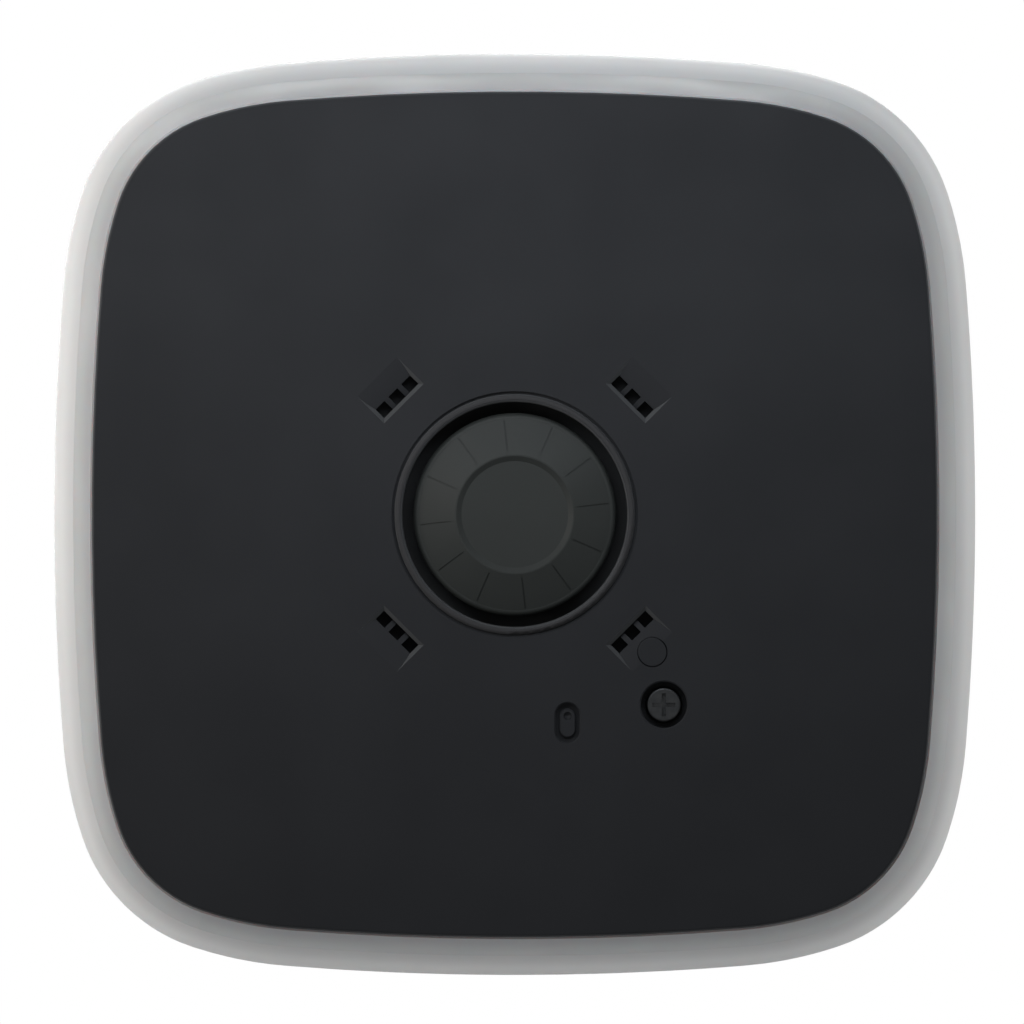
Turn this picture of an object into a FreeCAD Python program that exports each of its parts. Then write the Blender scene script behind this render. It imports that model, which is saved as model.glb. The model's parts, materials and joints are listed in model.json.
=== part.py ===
import FreeCAD, Part
import math
import os

Vector = FreeCAD.Vector

# The siren is drawn as it hangs: X to the right and Z up as seen from the wall side, Y away from the wall.
# The wall touches the dark rear plate at Y = 0. All lengths are in millimetres, all angles in degrees.

# Outer outline, a rounded square: one flat arc a side, two shoulder arcs and one corner arc a corner
OUTER_HALF = 100.0
SIDE_RADIUS = 620.0
SIDE_ANGLE = 4.6
SHOULDER_RADIUS = 86.6
CORNER_RADIUS = 37.7

# Casing shells, from the wall towards the front
BODY_DEPTH = 74.0
PLATE_WALL = 3.0
PLATE_RIM = 1.5
PLATE_EDGE_ROUND = 0.7
PLATE_RIB = 4.0
PLATE_RIB_WALL = 1.8
SEAL_THICKNESS = 0.6
SEAL_SETBACK = 0.75
BAND_LENGTH = 18.9
BAND_WALL = 2.4
BAND_FLANGE = 2.0
TONGUE_LENGTH = 4.0
TONGUE_WALL = 1.8
COVER_WALL = 2.6
COVER_FLARE = 17.0
CROWN_RADIUS = 900.0
FRONT_ROUND = 16.0
SHELL_GAP = 0.3

# How far each outline lies inside the outer outline
PLATE_INSET = 8.75
BAND_REAR_INSET = 8.3
BAND_FRONT_INSET = 4.4
CHASSIS_INSET = 13.6

# Fits shared by several pieces
GUIDE_CLEARANCE = 0.08
MOUTH_BEVEL = 0.3
MOVING_GAP = 0.3
THREAD_CLEARANCE = 0.05
LOOSE_HOLE = 0.25

# Sound outlet in the rear plate
WELL_RADIUS = 24.3
BEAD_RADIUS = 26.0
BEAD_CREST = 0.2
GROOVE_WIDTH = 0.6
GROOVE_DEPTH = 0.9

# Deflector that stands in the outlet
DISC_RADIUS = 21.9
DISC_BEVEL_RADIUS = 20.7
DISC_CREST_RADIUS = 12.6
DISC_CREST_WIDTH = 0.3
DISC_CREST_DEPTH = 0.3
DISC_DISH = 0.7
DISC_DISH_SLOPE = 1.1
DISC_RIM_DEPTH = 3.1
DISC_EDGE = 2.2
DISC_TAIL_DEPTH = 22.0
DISC_TAIL_RADIUS = 3.0
SECTORS = 12
SECTOR_START = 6.5
SECTOR_GROOVE = 0.35
SECTOR_GROOVE_DEPTH = 0.25
SECTOR_MARGIN = 0.9
VANES = 3
VANE_WALL = 1.6
VANE_REAR = 14.0

# Horn and sound driver
GASKET_THICKNESS = 1.0
GASKET_SETBACK = 1.0
HORN_FLANGE = 4.8
HORN_FLANGE_WALL = 2.0
HORN_WALL = 2.0
HORN_STRAIGHT = 8.0
HORN_BOW = 1.5
HORN_BOW_SHARE = 0.38
THROAT_RADIUS = 6.0
HORN_SEAT = 3.0
DRIVER_DEPTH = 9.5
DRIVER_RADIUS = 25.0
DRIVER_WALL = 2.0
DRIVER_SHOULDER = 2.5
DRIVER_BASE = 2.0
RING_THICKNESS = 0.8
RING_WIDTH = 2.8
DIAPHRAGM_THICKNESS = 0.3
CERAMIC_RADIUS = 14.0
CERAMIC_THICKNESS = 0.4
EAR_RADIUS = 3.4
EARS = 3

# Bracket pockets in the rear plate, one on each diagonal
POCKET_REACH = 34.6
POCKET_WIDTH = 10.5
POCKET_LENGTH = 7.4
POCKET_SLOPE = 1.6
POCKET_SLOPE_SAG = 0.25
POCKET_LIP = 0.8
POCKET_WALL = 1.6
TOE_SLOTS = 3
TOE_SLOT_LENGTH = 2.6
TOE_SLOT_DEPTH = 5.6
TOE_SLOT_RIB = 1.2
TOE_SLOT_UNDERCUT = 2.2

# Locking screw with its counterbore, pillar and insert
LOCK_X = 32.2
LOCK_Z = -41.1
COUNTERBORE_RADIUS = 5.0
COUNTERBORE_DEPTH = 4.2
LOCK_BOSS_WALL = 1.5
LOCK_BOSS_FLOOR = 4.8
LOCK_HEAD_RADIUS = 4.0
LOCK_HEAD = 2.2
LOCK_SHANK_RADIUS = 1.45
LOCK_LENGTH = 16.0
CROSS_WIDTH = 0.9
CROSS_SHARE = 0.62
CROSS_DEPTH = 1.3
PILLAR_RADIUS = 4.5
INSERT_LENGTH = 6.0
INSERT_WALL = 0.8

# Set-up button in its recess
BUTTON_X = 11.4
BUTTON_Z = -45.0
RECESS_WIDTH = 5.2
RECESS_HEIGHT = 8.6
RECESS_DEPTH = 1.6
BUTTON_WIDTH = 3.6
BUTTON_HEIGHT = 6.4
BUTTON_SINK = 0.7
BUTTON_TRAVEL = 0.5
BUTTON_FLANGE = 0.8
BUTTON_FLANGE_WALL = 1.0
BUTTON_STEM_RADIUS = 1.6
BUTTON_DIMPLE_RADIUS = 0.9
BUTTON_DIMPLE_DEPTH = 0.7
BUTTON_DIMPLE_RISE = 1.5
BOOT_WALL = 1.2
BOOT_LENGTH = 3.5
BOOT_WEB = 0.6

# Tamper plunger, on the slope of the lower right pocket
TAMPER_REACH = 42.0
PLUNGER_SINK = 0.3
PLUNGER_RADIUS = 3.2
PLUNGER_HEAD = 3.9
PLUNGER_STEM_RADIUS = 1.2
PLUNGER_TRAVEL = 1.5
PLUNGER_ROUND = 0.3
SPRING_LENGTH = 3.8
SPRING_WIRE = 0.35
SPRING_TURNS = 4
SPRING_GAP = 0.2
SPRING_END_GAP = 0.05
GUIDE_WALL = 1.5
GUIDE_SEAT = 1.0
CLIP_RADIUS = 2.3
CLIP_THICKNESS = 0.6
STEM_TIP = 0.3

# Micro-switch that the plunger works
LEVER_ARM = 11.0
LEVER_WALL = 0.4
LEVER_WIDTH = 3.6
LEVER_OVERHANG = 1.6
LEVER_CLEARANCE = 1.0
EYE_RADIUS = 1.0
PIN_RADIUS = 0.5
MICRO_LENGTH = 12.8
MICRO_WIDTH = 5.8
MICRO_HEIGHT = 4.6
MICRO_HEEL = 3.0
EAR_WALL = 0.8
EAR_LENGTH = 3.0
NUB_RADIUS = 0.8
NUB_ARM = 4.0
NUB_HEIGHT = 1.6

# Switch for the set-up button
TACT_SIZE = 6.0
TACT_HEIGHT = 3.6
TACT_REACH = 1.5
TACT_RADIUS = 1.7
TACT_ENGAGE = 1.0

# Cells, cradles and contacts
CELL_RADIUS = 17.0
CELL_LENGTH = 61.5
CELL_NUB = 1.5
CELL_NUB_RADIUS = 4.75
CELL_EDGE_ROUND = 1.2
CELL_SIDE_GAP = 1.8
PAD_THICKNESS = 3.0
PAD_WIDTH = 14.0
PAD_LENGTH = 100.0
CRADLE_GAP = 0.5
CRADLE_HEIGHT = 10.0
CRADLE_WALL = 2.0
CRADLE_FIT = 0.3
CRADLE_PLACES = (-46.0, -16.0, 16.0, 46.0)
CONTACT_GAP = 3.5
CONTACT_WIDTH = 12.0
CONTACT_WALL = 0.5
CONTACT_TAB = 2.0
CONTACT_DIMPLE = 4.0
SPRING_LEAF = 0.4
SPRING_LEAF_WIDTH = 9.0
SPRING_LEAF_SPAN = 20.0
END_WALL = 2.0
END_WALL_WIDTH = 30.0
END_WALL_TOP = 9.0
LINK_WIDTH = 3.0

# Chassis
CHASSIS_WALL = 2.5
LED_WALL = 1.6
LED_WALL_SETBACK = 2.0
LED_WALL_HALF = 46.0
LED_WALL_TOP = 8.5
SNAP_GAP = 0.6
SNAP_WALL = 1.8
SNAP_WIDTH = 12.0
SNAP_HOOK = 1.4
COVER_BOSS_RADIUS = 4.0
COVER_BOSS_INBOARD = 4.0
COVER_BOSS_BEYOND = 6.0

# Light boards
LED_BOARD_WALL = 1.0
LED_BOARD_HEIGHT = 10.0
LED_BOARD_LENGTH = 90.0
LED_BOARD_DEPTH = 10.0
LEDS_A_SIDE = 6
LED_PITCH = 15.0
LED_SIZE = 3.5
LED_HEIGHT = 1.6

# Boards and their parts
BOARD_THICKNESS = 1.6
BOARD_WIDTH = 116.0
BOARD_HEIGHT = 112.0
BOARD_CENTRE_Z = -6.0
BOARD_STANDOFF = 4.0
STANDOFF_RADIUS = 3.0
STANDOFF_EDGE = 4.0
CABLE_HOLE = 4.0
SWITCH_BOARD_LEFT = -24.0
SWITCH_BOARD_GAP = 4.0
SWITCH_BOARD_BOTTOM = -62.0
SWITCH_BOARD_TOP = -24.0
SWITCH_BOARD_ARC = 27.0
FLEX_X = -8.0
FLEX_Z = -56.0
FLEX_WIDTH = 10.0
FLEX_THICKNESS = 0.3
SOCKET_HEIGHT = 2.0
SOCKET_WALL = 1.5
SOCKET_MARGIN = 1.0
RADIO_X = 30.0
RADIO_Z = 20.0
RADIO_WIDTH = 26.0
RADIO_HEIGHT = 18.0
RADIO_DEPTH = 3.2
COIL_X = -34.0
COIL_Z = -38.0
COIL_RADIUS = 9.0
COIL_DEPTH = 12.0
COIL_FLANGE = 1.5
COIL_WINDING = 7.2
CAPACITOR_X = 0.0
CAPACITOR_Z = -38.0
CAPACITOR_RADIUS = 5.0
CAPACITOR_DEPTH = 14.0
CAPACITOR_PITCH = 12.0
CAPACITORS = 3
CHIP_X = 28.0
CHIP_Z = -2.0
CHIP_SIZE = 10.0
CHIP_DEPTH = 1.0
HEADER_X = 40.0
HEADER_Z = 40.0
HEADER_LENGTH = 8.0
HEADER_WIDTH = 5.0
HEADER_DEPTH = 4.0
ANTENNA_X = 50.0
ANTENNA_LENGTH = 22.0
ANTENNA_WIDTH = 4.0
ANTENNA_WALL = 0.4
ANTENNA_DEPTH = 6.0

# Small screws and leads
SCREW_HEAD_RADIUS = 2.6
SCREW_HEAD = 1.8
HEAD_ROUND = 0.8
SCREW_SHANK_RADIUS = 1.2
SCREW_GRIP = 6.0
SCREW_HOLE_DEPTH = 12.0
LEAD_RADIUS = 0.7
LEAD_SPACING = 4.0
LEAD_BEND_SHARE = 0.45
LEAD_RISE = 8.0

# Depths that follow from the sizes above
band_rear = PLATE_RIM + SEAL_THICKNESS
band_front = band_rear + BAND_LENGTH
cover_rear = band_front + SEAL_THICKNESS
step_inset = BAND_REAR_INSET + BAND_WALL + SHELL_GAP
tongue_inset = BAND_FRONT_INSET + COVER_WALL + SHELL_GAP
flange_inset = tongue_inset + TONGUE_WALL
cell_y = PLATE_WALL + PAD_THICKNESS + CELL_RADIUS
chassis_rear = cell_y + CELL_RADIUS + CRADLE_GAP
chassis_front = chassis_rear + CHASSIS_WALL
board_rear = chassis_front + BOARD_STANDOFF
board_front = board_rear + BOARD_THICKNESS
horn_mouth = PLATE_WALL + GASKET_THICKNESS
driver_rear = chassis_rear - DRIVER_DEPTH
diaphragm_y = driver_rear + RING_THICKNESS
ear_reach = DRIVER_RADIUS + EAR_RADIUS / 2
seat_y = PLUNGER_SINK + PLUNGER_HEAD + SPRING_LENGTH
guide_end = seat_y + GUIDE_SEAT
clip_y = guide_end + MOVING_GAP
stem_end = clip_y + CLIP_THICKNESS + STEM_TIP
lever_y = stem_end + MOVING_GAP + LEVER_WALL / 2
micro_y = lever_y + LEVER_WALL / 2 + PLUNGER_TRAVEL + LEVER_CLEARANCE
switch_board_rear = micro_y + MICRO_HEIGHT
switch_board_front = switch_board_rear + BOARD_THICKNESS
tact_y = switch_board_rear - TACT_HEIGHT
lock_boss_end = COUNTERBORE_DEPTH + LOCK_BOSS_FLOOR
pillar_end = lock_boss_end + MOVING_GAP

# Places that follow from the sizes above
chassis_half = OUTER_HALF - CHASSIS_INSET
led_wall_out = chassis_half - LED_WALL_SETBACK
led_wall_in = led_wall_out - LED_WALL
cell_x = led_wall_in - CELL_SIDE_GAP - CELL_RADIUS
end_wall_in = CELL_LENGTH + CONTACT_GAP
end_wall_out = end_wall_in + END_WALL
switch_board_right = cell_x - CELL_RADIUS - SWITCH_BOARD_GAP
boss_x = cell_x - COVER_BOSS_INBOARD
boss_z = end_wall_out + COVER_BOSS_BEYOND
tamper_x = TAMPER_REACH * math.cos(math.radians(45))
tamper_z = -TAMPER_REACH * math.sin(math.radians(45))
pivot_x = tamper_x - LEVER_ARM
board_half = BOARD_WIDTH / 2
board_top = BOARD_CENTRE_Z + BOARD_HEIGHT / 2
board_bottom = BOARD_CENTRE_Z - BOARD_HEIGHT / 2

# Centres of the outline's arcs
side_centre = OUTER_HALF - SIDE_RADIUS
side_step = SIDE_RADIUS - SHOULDER_RADIUS
shoulder_x = side_centre + side_step * math.cos(math.radians(SIDE_ANGLE))
shoulder_z = side_step * math.sin(math.radians(SIDE_ANGLE))
corner_step = SHOULDER_RADIUS - CORNER_RADIUS
corner_root = math.sqrt(2 * corner_step ** 2 - (shoulder_x - shoulder_z) ** 2)
corner_centre = (shoulder_x + shoulder_z + corner_root) / 2
corner_angle = math.degrees(math.atan2(corner_centre - shoulder_z, corner_centre - shoulder_x))
corner_reach = corner_centre * math.sqrt(2) + CORNER_RADIUS


def arc(centre_x, centre_z, radius, start, end, y):
    """Arc in a plane square to Y, between two angles counted from X towards Z."""
    points = []
    for angle in (start, (start + end) / 2, end):
        x = centre_x + radius * math.cos(math.radians(angle))
        z = centre_z + radius * math.sin(math.radians(angle))
        points.append(Vector(x, y, z))
    return Part.Arc(*points).toShape()


def outline(inset, y):
    """Rounded-square wire at a depth, set in from the outer outline."""
    edges = []
    for quarter in range(4):
        quarter_edges = [
            arc(side_centre, 0, SIDE_RADIUS - inset, -SIDE_ANGLE, SIDE_ANGLE, y),
            arc(shoulder_x, shoulder_z, SHOULDER_RADIUS - inset, SIDE_ANGLE, corner_angle, y),
            arc(corner_centre, corner_centre, CORNER_RADIUS - inset, corner_angle, 90 - corner_angle, y),
            arc(shoulder_z, shoulder_x, SHOULDER_RADIUS - inset, 90 - corner_angle, 90 - SIDE_ANGLE, y),
        ]
        for edge in quarter_edges:
            edge.rotate(Vector(0, 0, 0), Vector(0, 1, 0), -90 * quarter)
            edges.append(edge)
    return Part.Wire(Part.__sortEdges__(edges))


def prism(inset, start, end):
    """Solid of the rounded-square outline between two depths."""
    return Part.Face(outline(inset, start)).extrude(Vector(0, end - start, 0))


def flare(start_inset, start, end_inset, end):
    """Solid whose outline changes evenly between two depths."""
    return Part.makeLoft([outline(start_inset, start), outline(end_inset, end)], True, True)


def slab(x, y, z):
    """Box given by its two limits along each axis."""
    size = (x[1] - x[0], y[1] - y[0], z[1] - z[0])
    return Part.makeBox(*size, Vector(x[0], y[0], z[0]))


def rod(x, z, radius, start, end):
    """Cylinder along Y between two depths."""
    return Part.makeCylinder(radius, end - start, Vector(x, start, z), Vector(0, 1, 0))


def tube(x, z, outer, inner, start, end):
    """Round tube along Y between two depths."""
    return rod(x, z, outer, start, end).cut(rod(x, z, inner, start, end))


def obround_outline(x, z, width, height, y):
    """Upright slot-shaped wire with round ends, at a depth."""
    radius = width / 2
    reach = height / 2 - radius
    left = (Vector(x - radius, y, z + reach), Vector(x - radius, y, z - reach))
    right = (Vector(x + radius, y, z - reach), Vector(x + radius, y, z + reach))
    return Part.Wire([
        arc(x, z + reach, radius, 0, 180, y),
        Part.LineSegment(*left).toShape(),
        arc(x, z - reach, radius, 180, 360, y),
        Part.LineSegment(*right).toShape(),
    ])


def obround(x, z, width, height, start, end):
    """Upright slot shape with round ends, between two depths."""
    return Part.Face(obround_outline(x, z, width, height, start)).extrude(Vector(0, end - start, 0))


def obround_bevel(x, z, width, height, start, bevel):
    """Solid that narrows to a slot shape over its bevel's depth, or widens where the bevel is negative."""
    wide = obround_outline(x, z, width + 2 * bevel, height + 2 * bevel, start)
    return Part.makeLoft([wide, obround_outline(x, z, width, height, start + abs(bevel))], True, True)


def profile(first, *steps):
    """Closed face in the XY plane: a step of one point is a line, of two an arc through the first."""
    start = Vector(first[0], first[1], 0)
    here = start
    edges = []
    for step in steps:
        if isinstance(step[0], tuple):
            via = Vector(step[0][0], step[0][1], 0)
            there = Vector(step[1][0], step[1][1], 0)
            edges.append(Part.Arc(here, via, there).toShape())
        else:
            there = Vector(step[0], step[1], 0)
            edges.append(Part.LineSegment(here, there).toShape())
        here = there
    edges.append(Part.LineSegment(here, start).toShape())
    return Part.Face(Part.Wire(edges))


def turned(face):
    """Solid turned about the Y axis from a profile of radius and depth."""
    return face.revolve(Vector(0, 0, 0), Vector(0, 1, 0), 360)


def turned_at(x, z, face):
    """Turned solid moved to a place in the XZ plane."""
    return turned(face).translated(Vector(x, 0, z))


def across(face, low, high):
    """Solid drawn along Z from a profile in the XY plane."""
    moved = face.translated(Vector(0, 0, low))
    return moved.extrude(Vector(0, 0, high - low))


def spun(shape, angle):
    """Copy turned about the Y axis, from X towards Z."""
    copy = shape.copy()
    copy.rotate(Vector(0, 0, 0), Vector(0, 1, 0), -angle)
    return copy


def around(shape, count, start):
    """Evenly spaced copies about the Y axis."""
    return [spun(shape, start + 360 * index / count) for index in range(count)]


def at_sides(shape):
    """Copies of a piece on the four sides, from one drawn on the X axis."""
    return around(shape, 4, 0)


def at_corners(shape):
    """Copies of a piece on the four diagonals, from one drawn on the X axis."""
    return around(shape, 4, 45)


def group(shapes):
    """Several separate solids in one node."""
    return Part.makeCompound(shapes)


def screw(x, z, seat, direction, head_radius, head, shank_radius, grip):
    """Cross-head screw; its head stands on the seat, and its shank runs the way of the direction."""
    ends = sorted((seat, seat + direction * grip))
    head_ends = sorted((seat, seat - direction * head))
    top = seat - direction * head
    pan = rod(x, z, head_radius, *head_ends)
    rim = [edge for edge in pan.Edges if abs(edge.BoundBox.Center.y - top) < HEAD_ROUND / 2]
    body = pan.makeFillet(HEAD_ROUND, rim).fuse(rod(x, z, shank_radius, *ends))
    cut_ends = sorted((top - direction, top + direction * min(CROSS_DEPTH, head * CROSS_SHARE)))
    reach = head_radius * CROSS_SHARE
    half = CROSS_WIDTH / 2
    level = slab((x - reach, x + reach), cut_ends, (z - half, z + half))
    upright = slab((x - half, x + half), cut_ends, (z - reach, z + reach))
    return body.cut(level).cut(upright)


def small_screw(x, z, seat, direction, grip=SCREW_GRIP):
    """One of the small screws inside the casing."""
    return screw(x, z, seat, direction, SCREW_HEAD_RADIUS, SCREW_HEAD, SCREW_SHANK_RADIUS, grip)


def lead(*points):
    """Insulated wire along straight runs, with a round bend at each inner point."""
    route = [Vector(*point) for point in points]
    edges = []
    here = route[0]
    for before, corner, after in zip(route, route[1:], route[2:]):
        back = before.sub(corner)
        ahead = after.sub(corner)
        trim = LEAD_BEND_SHARE * min(back.Length, ahead.Length)
        back.normalize()
        ahead.normalize()
        begin = corner.add(back * trim)
        finish = corner.add(ahead * trim)
        half_turn = (math.pi - back.getAngle(ahead)) / 2
        radius = trim / math.tan(half_turn)
        bisector = back.add(ahead)
        bisector.normalize()
        centre = corner.add(bisector * (radius / math.cos(half_turn)))
        middle = centre.sub(bisector * radius)
        edges.append(Part.LineSegment(here, begin).toShape())
        edges.append(Part.Arc(begin, middle, finish).toShape())
        here = finish
    edges.append(Part.LineSegment(here, route[-1]).toShape())
    path = Part.Wire(edges)
    section = Part.Wire(Part.makeCircle(LEAD_RADIUS, route[0], route[1].sub(route[0])))
    return path.makePipeShell([section], True, False)


def mirrored_places(x, z):
    """The four places that mirror one another across both middle planes."""
    return [(side * x, end * z) for side in (-1, 1) for end in (-1, 1)]


def cover_form(skin):
    """Solid that fills the front cover, set in from its outside by a skin thickness."""
    flare_steps = 4
    flare_end = cover_rear + COVER_FLARE
    sections = []
    for step in range(flare_steps + 1):
        share = step / flare_steps
        inset = BAND_FRONT_INSET * (1 - share) ** 2
        sections.append(outline(inset + skin, cover_rear + share * COVER_FLARE))
    shoulder = Part.makeLoft(sections, True, False)
    block = shoulder.fuse(prism(skin, flare_end, BODY_DEPTH))
    crown = Part.makeSphere(CROWN_RADIUS - skin, Vector(0, BODY_DEPTH - CROWN_RADIUS, 0))
    block = block.common(crown)
    middle = (flare_end + BODY_DEPTH) / 2
    edges = [edge for edge in block.Edges if edge.BoundBox.YMin > middle]
    return block.makeFillet(FRONT_ROUND - skin, edges)


def front_cover():
    """Pale front shell with four screw bosses inside."""
    outside = cover_form(0)
    shell = outside.cut(cover_form(COVER_WALL))
    for x, z in mirrored_places(boss_x, boss_z):
        boss = rod(x, z, COVER_BOSS_RADIUS, chassis_front, BODY_DEPTH)
        shell = shell.fuse(boss.common(outside))
    hole = SCREW_SHANK_RADIUS + THREAD_CLEARANCE
    for x, z in mirrored_places(boss_x, boss_z):
        shell = shell.cut(rod(x, z, hole, chassis_front, chassis_front + SCREW_HOLE_DEPTH))
    return shell


def light_band():
    """Frosted light band that flares from the rear plate to the front cover."""
    outer = flare(BAND_REAR_INSET, band_rear, BAND_FRONT_INSET, band_front)
    inner = flare(BAND_REAR_INSET + BAND_WALL, band_rear, BAND_FRONT_INSET + BAND_WALL, band_front)
    wall = outer.cut(inner)
    flange = prism(flange_inset, band_front - BAND_FLANGE, band_front)
    stiffener = outer.common(prism(0, band_front - BAND_FLANGE, band_front)).cut(flange)
    tongue = prism(tongue_inset, band_front, band_front + TONGUE_LENGTH)
    tongue = tongue.cut(prism(flange_inset, band_front, band_front + TONGUE_LENGTH))
    return wall.multiFuse([stiffener, tongue]).removeSplitter()


def ring_seal(outer_inset, inner_inset, start):
    """Flat rubber seal that follows the outline."""
    outer = prism(outer_inset, start, start + SEAL_THICKNESS)
    return outer.cut(prism(inner_inset, start, start + SEAL_THICKNESS))


def rear_seal():
    """Seal between the rear plate's rim and the light band."""
    return ring_seal(PLATE_INSET + SEAL_SETBACK, BAND_REAR_INSET + BAND_WALL, PLATE_RIM)


def front_seal():
    """Seal between the light band and the front cover."""
    return ring_seal(BAND_FRONT_INSET + SEAL_SETBACK, BAND_FRONT_INSET + COVER_WALL, band_front)


def pocket_block():
    """Material behind the rear plate round the toe slots of one bracket pocket, drawn on the X axis."""
    inner = POCKET_REACH - TOE_SLOT_UNDERCUT - POCKET_WALL
    outer = POCKET_REACH + TOE_SLOT_LENGTH + POCKET_WALL
    half = POCKET_WIDTH / 2 + POCKET_WALL
    return slab((inner, outer), (PLATE_WALL / 2, TOE_SLOT_DEPTH + POCKET_WALL), (-half, half))


def pocket_space():
    """Hollow of one bracket pocket, drawn on the X axis: bevelled walls, a curved slope and deep toe slots."""
    half = POCKET_WIDTH / 2
    inner = POCKET_REACH
    slope_way = (inner + POCKET_LENGTH / 2, POCKET_SLOPE / 2 - POCKET_SLOPE_SAG)
    hollow = profile(
        (inner - POCKET_LIP, 0),
        (inner, POCKET_LIP),
        (inner, POCKET_SLOPE),
        (slope_way, (inner + POCKET_LENGTH, 0)),
    )
    space = across(hollow, -half - POCKET_LIP, half + POCKET_LIP)
    side_wall = profile(
        (half + POCKET_LIP, 0),
        (half, POCKET_LIP),
        (half, POCKET_SLOPE),
        (half + POCKET_LIP, POCKET_SLOPE),
    )
    for side in (-1, 1):
        ends = sorted((-side * (inner + POCKET_LENGTH), side * (POCKET_LIP - inner)))
        space = space.cut(spun(across(side_wall, *ends), 90 * side))
    pitch = (POCKET_WIDTH + TOE_SLOT_RIB) / TOE_SLOTS
    for index in range(TOE_SLOTS):
        low = -half + index * pitch
        z = (low, low + pitch - TOE_SLOT_RIB)
        slot = slab((inner, inner + TOE_SLOT_LENGTH), (0, TOE_SLOT_DEPTH), z)
        undercut = slab((inner - TOE_SLOT_UNDERCUT, inner), (PLATE_WALL, TOE_SLOT_DEPTH), z)
        space = space.multiFuse([slot, undercut])
    return space


def snap_arm():
    """Snap arm that grips the chassis plate, drawn on the X axis."""
    inner = corner_reach - CHASSIS_INSET + SNAP_GAP
    outer = inner + SNAP_WALL
    hook_face = chassis_front + MOVING_GAP
    hook_end = hook_face + SNAP_WALL
    face = profile(
        (inner, PLATE_WALL / 2),
        (outer, PLATE_WALL / 2),
        (outer, hook_end),
        (inner, hook_end),
        (inner - SNAP_HOOK, hook_face + SNAP_HOOK / 2),
        (inner - SNAP_HOOK, hook_face),
        (inner, hook_face),
    )
    return across(face, -SNAP_WIDTH / 2, SNAP_WIDTH / 2)


def plate_slab():
    """Dark rear plate with its rounded edge and the rib that centres the light band."""
    rim = prism(PLATE_INSET, 0, PLATE_RIM)
    edges = [edge for edge in rim.Edges if edge.BoundBox.YMax < PLATE_RIM / 2]
    rim = rim.makeFillet(PLATE_EDGE_ROUND, edges)
    step = prism(step_inset, PLATE_RIM / 2, PLATE_WALL + PLATE_RIB)
    hollow = prism(step_inset + PLATE_RIB_WALL, PLATE_WALL, PLATE_WALL + PLATE_RIB)
    return rim.fuse(step).cut(hollow)


def well_space():
    """Round sound outlet and the groove outside it, which leave a half-round bead between them."""
    round_size = (BEAD_RADIUS - WELL_RADIUS - BEAD_CREST) / 2
    slant = round_size * (1 - math.sqrt(0.5))
    opening = turned(profile(
        (0, 0),
        (WELL_RADIUS + round_size, 0),
        ((WELL_RADIUS + slant, slant), (WELL_RADIUS, round_size)),
        (WELL_RADIUS, PLATE_WALL),
        (0, PLATE_WALL),
    ))
    groove = turned(profile(
        (BEAD_RADIUS - round_size, 0),
        ((BEAD_RADIUS - slant, slant), (BEAD_RADIUS, round_size)),
        (BEAD_RADIUS, GROOVE_DEPTH),
        (BEAD_RADIUS + GROOVE_WIDTH, GROOVE_DEPTH),
        (BEAD_RADIUS + GROOVE_WIDTH, 0),
    ))
    return opening.fuse(groove)


def lock_place():
    """Boss and stepped hole for the locking screw, as the material and the space."""
    boss = rod(LOCK_X, LOCK_Z, COUNTERBORE_RADIUS + LOCK_BOSS_WALL, PLATE_WALL / 2, lock_boss_end)
    wide = COUNTERBORE_RADIUS + MOUTH_BEVEL
    mouth = Part.makeCone(wide, COUNTERBORE_RADIUS, MOUTH_BEVEL, Vector(LOCK_X, 0, LOCK_Z), Vector(0, 1, 0))
    bore = rod(LOCK_X, LOCK_Z, COUNTERBORE_RADIUS, 0, COUNTERBORE_DEPTH)
    hole = rod(LOCK_X, LOCK_Z, LOCK_SHANK_RADIUS + LOOSE_HOLE, 0, lock_boss_end)
    return boss, bore.multiFuse([mouth, hole])


def button_place():
    """Space in the plate for the set-up button: its recess and its guide slot."""
    mouth = obround_bevel(BUTTON_X, BUTTON_Z, RECESS_WIDTH, RECESS_HEIGHT, 0, MOUTH_BEVEL)
    recess = obround(BUTTON_X, BUTTON_Z, RECESS_WIDTH, RECESS_HEIGHT, 0, RECESS_DEPTH)
    width = BUTTON_WIDTH + 2 * GUIDE_CLEARANCE
    height = BUTTON_HEIGHT + 2 * GUIDE_CLEARANCE
    return recess.multiFuse([mouth, obround(BUTTON_X, BUTTON_Z, width, height, 0, PLATE_WALL)])


def tamper_place():
    """Guide for the tamper plunger, as the material and the space."""
    bore = PLUNGER_RADIUS + GUIDE_CLEARANCE
    guide = rod(tamper_x, tamper_z, bore + GUIDE_WALL, PLATE_WALL, guide_end)
    wide = rod(tamper_x, tamper_z, bore, 0, seat_y)
    narrow = rod(tamper_x, tamper_z, PLUNGER_STEM_RADIUS + GUIDE_CLEARANCE, 0, guide_end)
    return guide, wide.fuse(narrow)


def rear_housing():
    """Dark rear plate with the sound outlet, the bracket pockets and the seats of the small parts."""
    lock_boss, lock_hole = lock_place()
    guide, guide_bore = tamper_place()
    solids = at_corners(pocket_block()) + at_corners(snap_arm()) + [lock_boss, guide]
    plate = plate_slab().multiFuse(solids)
    spaces = at_corners(pocket_space()) + [well_space(), lock_hole, button_place(), guide_bore]
    for space in spaces:
        plate = plate.cut(space)
    return plate.removeSplitter()


def horn_line(outside):
    """Meridian of the horn from mouth to throat, as the arc's way point and end, on one side of its wall."""
    wall = HORN_WALL if outside else 0
    straight_end = horn_mouth + HORN_STRAIGHT
    throat_end = driver_rear - HORN_SEAT
    middle_radius = (WELL_RADIUS + THROAT_RADIUS) / 2 - HORN_BOW
    middle_depth = straight_end + (throat_end - straight_end) * HORN_BOW_SHARE
    return (middle_radius + wall, middle_depth), (THROAT_RADIUS + wall, throat_end)


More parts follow.
